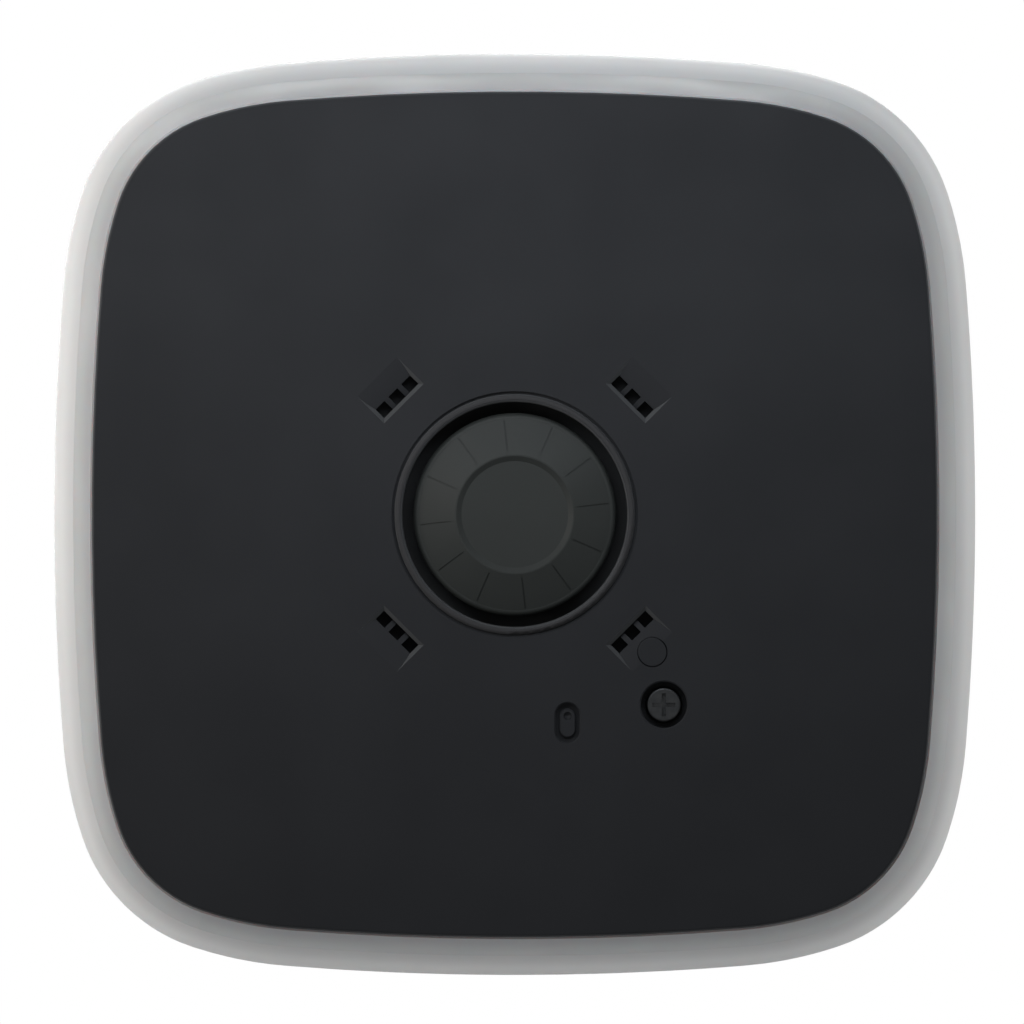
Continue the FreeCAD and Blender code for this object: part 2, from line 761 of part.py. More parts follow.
def horn_space():
    """Air space of the horn, from the rear plate to the diaphragm."""
    straight_end = horn_mouth + HORN_STRAIGHT
    return turned(profile(
        (0, horn_mouth),
        (WELL_RADIUS, horn_mouth),
        (WELL_RADIUS, straight_end),
        horn_line(False),
        (THROAT_RADIUS, driver_rear),
        (0, driver_rear),
    ))


def ear_posts(start, end):
    """Round posts on the driver's three screw places."""
    post = rod(ear_reach, 0, EAR_RADIUS, start, end)
    return around(post, EARS, 90)


def ear_holes(start, end, radius):
    """Screw holes on the driver's three screw places."""
    return around(rod(ear_reach, 0, radius, start, end), EARS, 90)


def horn_bell():
    """Flared horn with a flange at its mouth and the driver's seat at its throat."""
    straight_end = horn_mouth + HORN_STRAIGHT
    outer = WELL_RADIUS + HORN_WALL
    flange = WELL_RADIUS + HORN_FLANGE
    seat = driver_rear - HORN_SEAT
    body = turned(profile(
        (0, horn_mouth),
        (flange, horn_mouth),
        (flange, horn_mouth + HORN_FLANGE_WALL),
        (outer, horn_mouth + HORN_FLANGE_WALL),
        (outer, straight_end),
        horn_line(True),
        (DRIVER_RADIUS, seat),
        (DRIVER_RADIUS, driver_rear),
        (0, driver_rear),
    ))
    body = body.multiFuse(ear_posts(seat, driver_rear)).cut(horn_space())
    for hole in ear_holes(seat, driver_rear, SCREW_SHANK_RADIUS + LOOSE_HOLE):
        body = body.cut(hole)
    return body.removeSplitter()


def horn_gasket():
    """Soft ring between the horn's flange and the rear plate."""
    return tube(0, 0, WELL_RADIUS + HORN_FLANGE, WELL_RADIUS + GASKET_SETBACK, PLATE_WALL, horn_mouth)


def sector_groove():
    """Thin radial groove across the deflector's bevel, drawn on the X axis."""
    bevel_start = DISC_CREST_RADIUS + DISC_CREST_WIDTH
    steepness = (DISC_RIM_DEPTH - DISC_CREST_DEPTH) / (DISC_BEVEL_RADIUS - bevel_start)
    inner = bevel_start + SECTOR_MARGIN
    outer = DISC_BEVEL_RADIUS - SECTOR_MARGIN / 2
    inner_floor = DISC_CREST_DEPTH + steepness * (inner - bevel_start) + SECTOR_GROOVE_DEPTH
    outer_floor = DISC_CREST_DEPTH + steepness * (outer - bevel_start) + SECTOR_GROOVE_DEPTH
    face = profile((inner, inner_floor), (outer, outer_floor), (outer, 0), (inner, 0))
    return across(face, -SECTOR_GROOVE / 2, SECTOR_GROOVE / 2)


def deflector():
    """Round plug in the sound outlet, a bevelled disc with a tapered tail on three vanes."""
    edge = DISC_RADIUS - DISC_BEVEL_RADIUS
    edge_way = (DISC_BEVEL_RADIUS + edge * math.sqrt(0.5), DISC_RIM_DEPTH + edge * (1 - math.sqrt(0.5)))
    body = turned(profile(
        (0, DISC_CREST_DEPTH + DISC_DISH),
        (DISC_CREST_RADIUS - DISC_DISH_SLOPE, DISC_CREST_DEPTH + DISC_DISH),
        (DISC_CREST_RADIUS, DISC_CREST_DEPTH),
        (DISC_CREST_RADIUS + DISC_CREST_WIDTH, DISC_CREST_DEPTH),
        (DISC_BEVEL_RADIUS, DISC_RIM_DEPTH),
        (edge_way, (DISC_RADIUS, DISC_RIM_DEPTH + edge)),
        (DISC_RADIUS, DISC_RIM_DEPTH + DISC_EDGE),
        (DISC_TAIL_RADIUS, DISC_TAIL_DEPTH),
        (0, DISC_TAIL_DEPTH),
    ))
    vane = slab((0, WELL_RADIUS), (VANE_REAR, DISC_TAIL_DEPTH), (-VANE_WALL / 2, VANE_WALL / 2))
    vanes = [piece.common(horn_space()) for piece in around(vane, VANES, 90)]
    body = body.multiFuse(vanes)
    for groove in around(sector_groove(), SECTORS, SECTOR_START):
        body = body.cut(groove)
    return body.removeSplitter()


def driver_housing():
    """Cup that closes the horn and holds the diaphragm against its seat."""
    bore = DRIVER_RADIUS - DRIVER_WALL
    body = rod(0, 0, DRIVER_RADIUS, driver_rear, chassis_rear).multiFuse(ear_posts(driver_rear, chassis_rear))
    body = body.cut(rod(0, 0, bore, driver_rear, diaphragm_y + DIAPHRAGM_THICKNESS))
    body = body.cut(rod(0, 0, bore - DRIVER_SHOULDER, driver_rear, chassis_rear - DRIVER_BASE))
    body = body.cut(rod(0, LEAD_SPACING * 2, CABLE_HOLE, driver_rear, chassis_rear))
    for hole in ear_holes(driver_rear, chassis_rear, SCREW_SHANK_RADIUS + LOOSE_HOLE):
        body = body.cut(hole)
    return body.removeSplitter()


def diaphragm_seal():
    """Rubber ring under the diaphragm's edge."""
    outer = DRIVER_RADIUS - DRIVER_WALL - THREAD_CLEARANCE
    return tube(0, 0, outer, outer - RING_WIDTH, driver_rear, diaphragm_y)


def diaphragm():
    """Thin brass disc that sounds."""
    radius = DRIVER_RADIUS - DRIVER_WALL - THREAD_CLEARANCE
    return rod(0, 0, radius, diaphragm_y, diaphragm_y + DIAPHRAGM_THICKNESS)


def piezo_element():
    """Ceramic disc bonded to the diaphragm."""
    start = diaphragm_y + DIAPHRAGM_THICKNESS
    return rod(0, 0, CERAMIC_RADIUS, start, start + CERAMIC_THICKNESS)


def driver_leads():
    """Two wires from the piezo disc to the header on the main board."""
    start = diaphragm_y + DIAPHRAGM_THICKNESS + CERAMIC_THICKNESS
    level = board_front + LEAD_RISE
    wires = []
    for x in (-LEAD_SPACING / 2, LEAD_SPACING / 2):
        wires.append(lead(
            (x, start, 2 * LEAD_SPACING),
            (x, level, 2 * LEAD_SPACING),
            (x, level, HEADER_Z),
            (x, board_front + HEADER_DEPTH, HEADER_Z),
        ))
    return group(wires)


def board_screw_places():
    """Places of the main board's screws."""
    x = board_half - STANDOFF_EDGE
    heights = (board_bottom + STANDOFF_EDGE, board_top - STANDOFF_EDGE)
    return [(side * x, z) for side in (-1, 1) for z in heights]


def switch_screw_places():
    """Places of the switch board's screws."""
    z = SWITCH_BOARD_BOTTOM + 2 * STANDOFF_EDGE
    return [(SWITCH_BOARD_LEFT + STANDOFF_EDGE, z), (switch_board_right - STANDOFF_EDGE, z)]


def cradle_walls():
    """Saddles that the cells lie in, and the end walls that carry the contacts."""
    walls = []
    hollow = CELL_RADIUS + CRADLE_FIT
    for side in (-1, 1):
        centre = side * cell_x
        limits = (centre - END_WALL_WIDTH / 2, centre + END_WALL_WIDTH / 2)
        space = Part.makeCylinder(hollow, 4 * CELL_LENGTH, Vector(centre, cell_y, -2 * CELL_LENGTH))
        for z in CRADLE_PLACES:
            place = (z - CRADLE_WALL / 2, z + CRADLE_WALL / 2)
            saddle = slab(limits, (chassis_rear - CRADLE_HEIGHT, chassis_rear), place)
            walls.append(saddle.cut(space))
        for ends in ((end_wall_in, end_wall_out), (-end_wall_out, -end_wall_in)):
            walls.append(slab(limits, (END_WALL_TOP, chassis_rear), ends))
    return walls


def led_walls():
    """Upright walls that carry the four light boards."""
    side = slab(
        (led_wall_in, led_wall_out),
        (LED_WALL_TOP, chassis_rear),
        (-LED_WALL_HALF, LED_WALL_HALF),
    )
    return at_sides(side)


def contact_slots():
    """Slots in the chassis plate for the contacts' tabs."""
    slots = []
    half = CONTACT_WIDTH / 2 + LOOSE_HOLE
    for side, end in mirrored_places(1, 1):
        x = side * cell_x
        z = sorted((end * (end_wall_in - CONTACT_WALL - LOOSE_HOLE), end * end_wall_in))
        slots.append(slab((x - half, x + half), (chassis_rear, chassis_front), z))
    return slots


def flex_slot():
    """Slot in the chassis plate for the flat cable."""
    half = FLEX_WIDTH / 2 + 2 * LOOSE_HOLE
    x = (FLEX_X - half, FLEX_X + half)
    return slab(x, (chassis_rear, chassis_front), (FLEX_Z - SOCKET_WALL, FLEX_Z + SOCKET_WALL))


def chassis():
    """Moulded inner frame: plate, cradles, light board walls, pillars and standoffs."""
    solids = cradle_walls() + led_walls()
    solids.append(rod(LOCK_X, LOCK_Z, PILLAR_RADIUS, pillar_end, chassis_rear))
    for x, z in board_screw_places():
        solids.append(rod(x, z, STANDOFF_RADIUS, chassis_front, board_rear))
    for x, z in switch_screw_places():
        solids.append(rod(x, z, STANDOFF_RADIUS, switch_board_front, chassis_rear))
    frame = prism(CHASSIS_INSET, chassis_rear, chassis_front).multiFuse(solids)
    for space in chassis_spaces():
        frame = frame.cut(space)
    return frame.removeSplitter()


def chassis_spaces():
    """Slots, screw holes and the insert's bore in the chassis."""
    spaces = contact_slots() + [flex_slot()]
    spaces.append(rod(0, 2 * LEAD_SPACING, CABLE_HOLE, chassis_rear, chassis_front))
    insert_end = pillar_end + INSERT_LENGTH
    insert_radius = LOCK_SHANK_RADIUS + THREAD_CLEARANCE + INSERT_WALL
    spaces.append(rod(LOCK_X, LOCK_Z, insert_radius + THREAD_CLEARANCE / 2, pillar_end, insert_end))
    screw_end = COUNTERBORE_DEPTH + LOCK_LENGTH + MOVING_GAP
    spaces.append(rod(LOCK_X, LOCK_Z, LOCK_SHANK_RADIUS + LOOSE_HOLE, pillar_end, screw_end))
    hole = SCREW_SHANK_RADIUS + THREAD_CLEARANCE
    for x, z in mirrored_places(boss_x, boss_z):
        spaces.append(rod(x, z, SCREW_SHANK_RADIUS + LOOSE_HOLE, chassis_rear, chassis_front))
    for x, z in board_screw_places():
        spaces.append(rod(x, z, hole, chassis_rear, board_rear))
    for x, z in switch_screw_places():
        spaces.append(rod(x, z, hole, switch_board_front, switch_board_front + SCREW_HOLE_DEPTH))
    return spaces + ear_holes(chassis_rear, chassis_front, hole)


def cell(side, end):
    """One cell, nub towards its column's positive contact."""
    can_length = CELL_LENGTH - CELL_NUB
    face = profile(
        (0, 0),
        (CELL_RADIUS - CELL_EDGE_ROUND, 0),
        (CELL_RADIUS, CELL_EDGE_ROUND),
        (CELL_RADIUS, can_length - CELL_EDGE_ROUND),
        (CELL_RADIUS - CELL_EDGE_ROUND, can_length),
        (CELL_NUB_RADIUS, can_length),
        (CELL_NUB_RADIUS, CELL_LENGTH),
        (0, CELL_LENGTH),
    )
    solid = turned(face)
    solid.rotate(Vector(0, 0, 0), Vector(1, 0, 0), 90)
    nub_up = side < 0
    if not nub_up:
        solid.rotate(Vector(0, 0, 0), Vector(1, 0, 0), 180)
    low = 0 if end > 0 else -CELL_LENGTH
    base = low if nub_up else low + CELL_LENGTH
    solid.translate(Vector(side * cell_x, cell_y, base))
    return solid


def contact_plate(side, end):
    """Flat base of a contact against its end wall, with its tab through the chassis plate."""
    x = side * cell_x
    half = CONTACT_WIDTH / 2
    z = sorted((end * (end_wall_in - CONTACT_WALL), end * end_wall_in))
    return slab((x - half, x + half), (END_WALL_TOP, chassis_front + CONTACT_TAB), z)


def positive_contact(side, end):
    """Contact plate with a pressed dimple that meets the cell's nub."""
    x = side * cell_x
    direction = Vector(0, 0, -end)
    base = Vector(x, cell_y, end * (end_wall_in - CONTACT_WALL))
    height = CONTACT_GAP - CONTACT_WALL
    dimple = Part.makeCone(CONTACT_DIMPLE + height / 2, CONTACT_DIMPLE, height, base, direction)
    return contact_plate(side, end).fuse(dimple)


def contact_spring(side, end):
    """Contact plate with a bowed leaf that presses on the cell's base."""
    x = side * cell_x
    half = SPRING_LEAF_SPAN / 2
    wall = end_wall_in - CONTACT_WALL
    outer = [
        Vector(x, cell_y - half, end * wall),
        Vector(x, cell_y, end * CELL_LENGTH),
        Vector(x, cell_y + half, end * wall),
    ]
    inner = [
        Vector(x, cell_y + half - 2 * SPRING_LEAF, end * wall),
        Vector(x, cell_y, end * (CELL_LENGTH + SPRING_LEAF)),
        Vector(x, cell_y - half + 2 * SPRING_LEAF, end * wall),
    ]
    edges = [
        Part.Arc(*outer).toShape(),
        Part.LineSegment(outer[2], inner[0]).toShape(),
        Part.Arc(*inner).toShape(),
        Part.LineSegment(inner[2], outer[0]).toShape(),
    ]
    leaf = Part.Face(Part.Wire(edges)).extrude(Vector(SPRING_LEAF_WIDTH, 0, 0))
    leaf.translate(Vector(-SPRING_LEAF_WIDTH / 2, 0, 0))
    return contact_plate(side, end).fuse(leaf)


def positive_contacts():
    """Positive contacts at the top of the left column and the bottom of the right one."""
    return group([positive_contact(-1, 1), positive_contact(1, -1)])


def contact_springs():
    """Negative contacts at the bottom of the left column and the top of the right one."""
    return group([contact_spring(-1, -1), contact_spring(1, 1)])


def cell_link():
    """Flat strip that joins the two lower contacts in front of the chassis plate."""
    reach = cell_x + CONTACT_WIDTH / 2
    top = -(end_wall_in - CONTACT_WALL)
    start = chassis_front
    strip = slab((-reach, reach), (start, start + CONTACT_WALL), (top, top + LINK_WIDTH))
    return strip


def cell_pads():
    """Foam strips on the rear plate that keep the cells from rattling."""
    start = PLATE_WALL
    end = PLATE_WALL + PAD_THICKNESS - MOVING_GAP
    pads = []
    for side in (-1, 1):
        x = (side * cell_x - PAD_WIDTH / 2, side * cell_x + PAD_WIDTH / 2)
        pads.append(slab(x, (start, end), (-PAD_LENGTH / 2, PAD_LENGTH / 2)))
    return group(pads)


def battery_lead(side):
    """Wire from one column's upper contact to its header on the main board."""
    start = chassis_front + CONTACT_TAB
    level = board_front + LEAD_RISE
    z = end_wall_in - CONTACT_WALL / 2
    return lead(
        (side * cell_x, start, z),
        (side * cell_x, level, z),
        (side * HEADER_X, level, HEADER_Z),
        (side * HEADER_X, board_front + HEADER_DEPTH, HEADER_Z),
    )


def light_board(index):
    """Narrow board that stands on its chassis wall and faces the light band."""
    x = (led_wall_out, led_wall_out + LED_BOARD_WALL)
    y = (LED_BOARD_DEPTH, LED_BOARD_DEPTH + LED_BOARD_HEIGHT)
    board = slab(x, y, (-LED_BOARD_LENGTH / 2, LED_BOARD_LENGTH / 2))
    return spun(board, 90 * index)


def light_emitters():
    """Light-emitting packages on the four boards."""
    lights = []
    start = led_wall_out + LED_BOARD_WALL
    centre = LED_BOARD_DEPTH + LED_BOARD_HEIGHT / 2
    half = LED_SIZE / 2
    for index in range(4):
        for place in range(LEDS_A_SIDE):
            z = (place - (LEDS_A_SIDE - 1) / 2) * LED_PITCH
            light = slab((start, start + LED_HEIGHT), (centre - half, centre + half), (z - half, z + half))
            lights.append(spun(light, 90 * index))
    return group(lights)


def main_board():
    """Circuit board in front of the chassis plate."""
    board = slab((-board_half, board_half), (board_rear, board_front), (board_bottom, board_top))
    board = board.cut(rod(0, 2 * LEAD_SPACING, CABLE_HOLE, board_rear, board_front))
    for x, z in board_screw_places():
        board = board.cut(rod(x, z, SCREW_SHANK_RADIUS + LOOSE_HOLE, board_rear, board_front))
    return board


def switch_board():
    """Small board behind the rear plate that carries both switches."""
    x = (SWITCH_BOARD_LEFT, switch_board_right)
    z = (SWITCH_BOARD_BOTTOM, SWITCH_BOARD_TOP)
    board = slab(x, (switch_board_rear, switch_board_front), z)
    board = board.cut(rod(0, 0, SWITCH_BOARD_ARC, switch_board_rear, switch_board_front))
    around_pillar = PILLAR_RADIUS + 2 * LOOSE_HOLE
    board = board.cut(rod(LOCK_X, LOCK_Z, around_pillar, switch_board_rear, switch_board_front))
    for x, z in switch_screw_places():
        board = board.cut(rod(x, z, SCREW_SHANK_RADIUS + LOOSE_HOLE, switch_board_rear, switch_board_front))
    return board


def flex_sockets():
    """Sockets for the flat cable on both boards."""
    sockets = []
    half = FLEX_WIDTH / 2 + SOCKET_MARGIN
    for start in (switch_board_front, board_rear - SOCKET_HEIGHT):
        y = (start, start + SOCKET_HEIGHT)
        z = (FLEX_Z - SOCKET_WALL, FLEX_Z + SOCKET_WALL)
        sockets.append(slab((FLEX_X - half, FLEX_X + half), y, z))
    return group(sockets)


def flat_cable():
    """Flat cable from the switch board to the main board, through the chassis plate."""
    x = (FLEX_X - FLEX_WIDTH / 2, FLEX_X + FLEX_WIDTH / 2)
    y = (switch_board_front + SOCKET_HEIGHT, board_rear - SOCKET_HEIGHT)
    return slab(x, y, (FLEX_Z - FLEX_THICKNESS / 2, FLEX_Z + FLEX_THICKNESS / 2))


def radio_module():
    """Shielded radio on the main board."""
    x = (RADIO_X - RADIO_WIDTH / 2, RADIO_X + RADIO_WIDTH / 2)
    z = (RADIO_Z - RADIO_HEIGHT / 2, RADIO_Z + RADIO_HEIGHT / 2)
    return slab(x, (board_front, board_front + RADIO_DEPTH), z)


def boost_coil():
    """Wound coil that raises the voltage for the siren."""
    return turned_at(COIL_X, COIL_Z, profile(
        (0, board_front),
        (COIL_RADIUS, board_front),
        (COIL_RADIUS, board_front + COIL_FLANGE),
        (COIL_WINDING, board_front + COIL_FLANGE),
        (COIL_WINDING, board_front + COIL_DEPTH - COIL_FLANGE),
        (COIL_RADIUS, board_front + COIL_DEPTH - COIL_FLANGE),
        (COIL_RADIUS, board_front + COIL_DEPTH),
        (0, board_front + COIL_DEPTH),
    ))


def capacitors():
    """Row of storage capacitors."""
    cans = []
    for index in range(CAPACITORS):
        x = CAPACITOR_X + index * CAPACITOR_PITCH
        cans.append(rod(x, CAPACITOR_Z, CAPACITOR_RADIUS, board_front, board_front + CAPACITOR_DEPTH))
    return group(cans)


def controller_chip():
    """Controller on the main board."""
    half = CHIP_SIZE / 2
    y = (board_front, board_front + CHIP_DEPTH)
    return slab((CHIP_X - half, CHIP_X + half), y, (CHIP_Z - half, CHIP_Z + half))


def board_headers():
    """Plug headers for the battery leads and the siren leads."""
    headers = []
    half_length = HEADER_LENGTH / 2
    half_width = HEADER_WIDTH / 2
    for x in (-HEADER_X, 0, HEADER_X):
        y = (board_front, board_front + HEADER_DEPTH)
        z = (HEADER_Z - half_width, HEADER_Z + half_width)
        headers.append(slab((x - half_length, x + half_length), y, z))
    return group(headers)


def antenna():
    """Bent strip antenna on the edge of the main board."""
    low = -ANTENNA_X
    high = low + ANTENNA_LENGTH
    z = (BOARD_CENTRE_Z - ANTENNA_WIDTH / 2, BOARD_CENTRE_Z + ANTENNA_WIDTH / 2)
    foot = slab((low, low + ANTENNA_WALL), (board_front, board_front + ANTENNA_DEPTH), z)
    arm_top = board_front + ANTENNA_DEPTH + ANTENNA_WALL
    arm = slab((low, high), (board_front + ANTENNA_DEPTH, arm_top), z)
    return foot.fuse(arm).removeSplitter()


def setup_button():
    """Push button with a dimpled face, a retaining flange and a stem."""
    flange_start = PLATE_WALL + MOVING_GAP
    bevel_end = BUTTON_SINK + MOUTH_BEVEL
    edge = obround_bevel(BUTTON_X, BUTTON_Z, BUTTON_WIDTH, BUTTON_HEIGHT, BUTTON_SINK, -MOUTH_BEVEL)
    face = obround(BUTTON_X, BUTTON_Z, BUTTON_WIDTH, BUTTON_HEIGHT, bevel_end, flange_start)
    flange_end = flange_start + BUTTON_FLANGE_WALL
    width = BUTTON_WIDTH + 2 * BUTTON_FLANGE
    height = BUTTON_HEIGHT + 2 * BUTTON_FLANGE
    flange = obround(BUTTON_X, BUTTON_Z, width, height, flange_start, flange_end)
    stem = rod(BUTTON_X, BUTTON_Z, BUTTON_STEM_RADIUS, flange_end, tact_y - TACT_REACH)
    sphere_radius = (BUTTON_DIMPLE_RADIUS ** 2 + BUTTON_DIMPLE_DEPTH ** 2) / (2 * BUTTON_DIMPLE_DEPTH)
    centre_y = BUTTON_SINK + BUTTON_DIMPLE_DEPTH - sphere_radius
    dimple = Part.makeSphere(sphere_radius, Vector(BUTTON_X, centre_y, BUTTON_Z + BUTTON_DIMPLE_RISE))
    return face.multiFuse([edge, flange, stem]).cut(dimple).removeSplitter()


def setup_actuator():
    """Round actuator of the set-up switch, under the button's stem."""
    return rod(BUTTON_X, BUTTON_Z, TACT_RADIUS, tact_y - TACT_REACH, tact_y + TACT_ENGAGE)


def setup_switch():
    """Square push switch on the switch board."""
    half = TACT_SIZE / 2
    x = (BUTTON_X - half, BUTTON_X + half)
    body = slab(x, (tact_y, switch_board_rear), (BUTTON_Z - half, BUTTON_Z + half))
    room = tact_y + TACT_ENGAGE + BUTTON_TRAVEL + MOVING_GAP
    return body.cut(rod(BUTTON_X, BUTTON_Z, TACT_RADIUS + GUIDE_CLEARANCE, tact_y, room))


def button_boot():
    """Soft collar behind the plate that keeps water from the button's stem."""
    inner_width = BUTTON_WIDTH + 2 * BUTTON_FLANGE + 2 * MOVING_GAP
    inner_height = BUTTON_HEIGHT + 2 * BUTTON_FLANGE + 2 * MOVING_GAP
    end = PLATE_WALL + BOOT_LENGTH
    outer_width = inner_width + 2 * BOOT_WALL
    outer_height = inner_height + 2 * BOOT_WALL
    body = obround(BUTTON_X, BUTTON_Z, outer_width, outer_height, PLATE_WALL, end)
    body = body.cut(obround(BUTTON_X, BUTTON_Z, inner_width, inner_height, PLATE_WALL, end - BOOT_WEB))
    return body.cut(rod(BUTTON_X, BUTTON_Z, BUTTON_STEM_RADIUS + GUIDE_CLEARANCE, PLATE_WALL, end))


def tamper_plunger():
    """Plunger that the wall bracket holds down."""
    head_end = PLUNGER_SINK + PLUNGER_HEAD
    head = rod(tamper_x, tamper_z, PLUNGER_RADIUS, PLUNGER_SINK, head_end)
    top = [edge for edge in head.Edges if edge.BoundBox.YMax < PLUNGER_SINK + PLUNGER_ROUND / 2]
    head = head.makeFillet(PLUNGER_ROUND, top)
    stem = rod(tamper_x, tamper_z, PLUNGER_STEM_RADIUS, head_end, stem_end)
    return head.fuse(stem).removeSplitter()


def plunger_clip():
    """Ring that keeps the plunger in its guide."""
    return tube(tamper_x, tamper_z, CLIP_RADIUS, PLUNGER_STEM_RADIUS, clip_y, clip_y + CLIP_THICKNESS)


def tamper_spring():
    """Coil spring under the plunger's head."""
    middle = PLUNGER_RADIUS - SPRING_GAP - SPRING_WIRE / 2
    length = SPRING_LENGTH - SPRING_WIRE - 2 * SPRING_END_GAP
    helix = Part.makeHelix(length / SPRING_TURNS, length, middle)
    section = Part.Wire(Part.makeCircle(SPRING_WIRE / 2, Vector(middle, 0, 0), Vector(0, 1, 0)))
    coil = Part.Wire(helix.Edges).makePipeShell([section], True, True)
    coil.rotate(Vector(0, 0, 0), Vector(1, 0, 0), -90)
    start = PLUNGER_SINK + PLUNGER_HEAD + (SPRING_LENGTH - length) / 2
    coil.translate(Vector(tamper_x, start, tamper_z))
    return coil


def tamper_switch():
    """Micro-switch body with ears, hinge pin and contact nub."""
    half = MICRO_WIDTH / 2
    start_x = pivot_x - MICRO_HEEL
    x = (start_x, start_x + MICRO_LENGTH)
    body = slab(x, (micro_y, switch_board_rear), (tamper_z - half, tamper_z + half))
    ear_inner = LEVER_WIDTH / 2 + MOVING_GAP
    ear_x = (pivot_x - EAR_LENGTH / 2, pivot_x + EAR_LENGTH / 2)
    ear_y = (lever_y - EYE_RADIUS, micro_y)
    for side in (-1, 1):
        ear_z = sorted((tamper_z + side * ear_inner, tamper_z + side * (ear_inner + EAR_WALL)))
        body = body.fuse(slab(ear_x, ear_y, ear_z))
    reach = ear_inner + EAR_WALL
    pin = Part.makeCylinder(PIN_RADIUS, 2 * reach, Vector(pivot_x, lever_y, tamper_z - reach))
    nub = rod(pivot_x + NUB_ARM, tamper_z, NUB_RADIUS, micro_y - NUB_HEIGHT, micro_y)
    return body.multiFuse([pin, nub]).removeSplitter()


def tamper_lever():
    """Switch lever with a rolled eye on its hinge pin, under the plunger's tip."""
    half = LEVER_WIDTH / 2
    low = Vector(pivot_x, lever_y, tamper_z - half)
    eye = Part.makeCylinder(EYE_RADIUS, LEVER_WIDTH, low)
    x = (pivot_x, tamper_x + LEVER_OVERHANG)
    blade = slab(x, (lever_y - LEVER_WALL / 2, lever_y + LEVER_WALL / 2), (tamper_z - half, tamper_z + half))
    bore = Part.makeCylinder(PIN_RADIUS + GUIDE_CLEARANCE, LEVER_WIDTH, low)
    return eye.fuse(blade).cut(bore)


def lock_screw():
    """Cross-head screw in the counterbore of the rear plate."""
    return screw(
        LOCK_X, LOCK_Z, COUNTERBORE_DEPTH, 1, LOCK_HEAD_RADIUS, LOCK_HEAD, LOCK_SHANK_RADIUS, LOCK_LENGTH
    )


def lock_insert():
    """Brass thread insert in the chassis pillar."""
    inner = LOCK_SHANK_RADIUS + THREAD_CLEARANCE
    return tube(LOCK_X, LOCK_Z, inner + INSERT_WALL, inner, pillar_end, pillar_end + INSERT_LENGTH)


def chassis_screws():
    """Screws from the chassis into the front cover's bosses."""
    grip = CHASSIS_WALL + SCREW_GRIP
    return group([small_screw(x, z, chassis_rear, 1, grip) for x, z in mirrored_places(boss_x, boss_z)])


def board_screws():
    """Screws that hold the main board."""
    return group([small_screw(x, z, board_front, -1) for x, z in board_screw_places()])


def switch_board_screws():
    """Screws that hold the switch board."""
    grip = BOARD_THICKNESS + SCREW_GRIP
    return group([small_screw(x, z, switch_board_rear, 1, grip) for x, z in switch_screw_places()])


def horn_screws():
    """Long screws through the horn's ears and the driver housing into the chassis."""
    seat = driver_rear - HORN_SEAT
    grip = HORN_SEAT + DRIVER_DEPTH + CHASSIS_WALL
    screws = []
    for index in range(EARS):
        angle = math.radians(90 + 360 * index / EARS)
        screws.append(small_screw(ear_reach * math.cos(angle), ear_reach * math.sin(angle), seat, 1, grip))
    return group(screws)


def build():
    """Every piece of the siren by its node name."""
    parts = {
        "front_cover": front_cover(),
        "light_band": light_band(),
        "rear_housing": rear_housing(),
        "rear_seal": rear_seal(),
        "front_seal": front_seal(),
        "chassis": chassis(),
        "deflector": deflector(),
        "horn_bell": horn_bell(),
        "horn_gasket": horn_gasket(),
        "driver_housing": driver_housing(),
        "diaphragm_seal": diaphragm_seal(),
        "diaphragm": diaphragm(),
        "piezo_element": piezo_element(),
        "driver_leads": driver_leads(),
        "positive_contacts": positive_contacts(),
        "contact_springs": contact_springs(),
        "cell_link": cell_link(),
        "cell_pads": cell_pads(),
        "battery_lead_positive": battery_lead(-1),
        "battery_lead_negative": battery_lead(1),
        "light_emitters": light_emitters(),
        "main_board": main_board(),
        "switch_board": switch_board(),
        "flex_sockets": flex_sockets(),
        "flat_cable": flat_cable(),
        "radio_module": radio_module(),
        "boost_coil": boost_coil(),
        "capacitors": capacitors(),
        "controller_chip": controller_chip(),
        "board_headers": board_headers(),
        "antenna": antenna(),
        "setup_button": setup_button(),
        "setup_actuator": setup_actuator(),
        "setup_switch": setup_switch(),
        "button_boot": button_boot(),
        "tamper_plunger": tamper_plunger(),
        "plunger_clip": plunger_clip(),
        "tamper_spring": tamper_spring(),
        "tamper_switch": tamper_switch(),
        "tamper_lever": tamper_lever(),
        "lock_screw": lock_screw(),
        "lock_insert": lock_insert(),
        "chassis_screws": chassis_screws(),
        "board_screws": board_screws(),
        "switch_board_screws": switch_board_screws(),
        "horn_screws": horn_screws(),
    }
    for side, side_name in ((-1, "left"), (1, "right")):
        for end, end_name in ((-1, "lower"), (1, "upper")):
            parts["cell_" + end_name + "_" + side_name] = cell(side, end)
    for index, name in enumerate(("right", "top", "left", "bottom")):
        parts["light_board_" + name] = light_board(index)
    return parts


os.makedirs("parts", exist_ok=True)
for node, shape in build().items():
    shape.exportStep("parts/" + node + ".step")
    print(node, "solids", len(shape.Solids), "valid", shape.isValid(), "volume", round(shape.Volume, 1))
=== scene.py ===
"""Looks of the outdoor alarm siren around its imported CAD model.

The frame is the CAD's own, in metres: X to the right and Z up as seen from the wall side, and Y away
from the wall. The wall plate's face lies at Y = 0 and faces the camera.
"""

import json
import logging
import math
from dataclasses import dataclass, field
from enum import Enum
from typing import Any

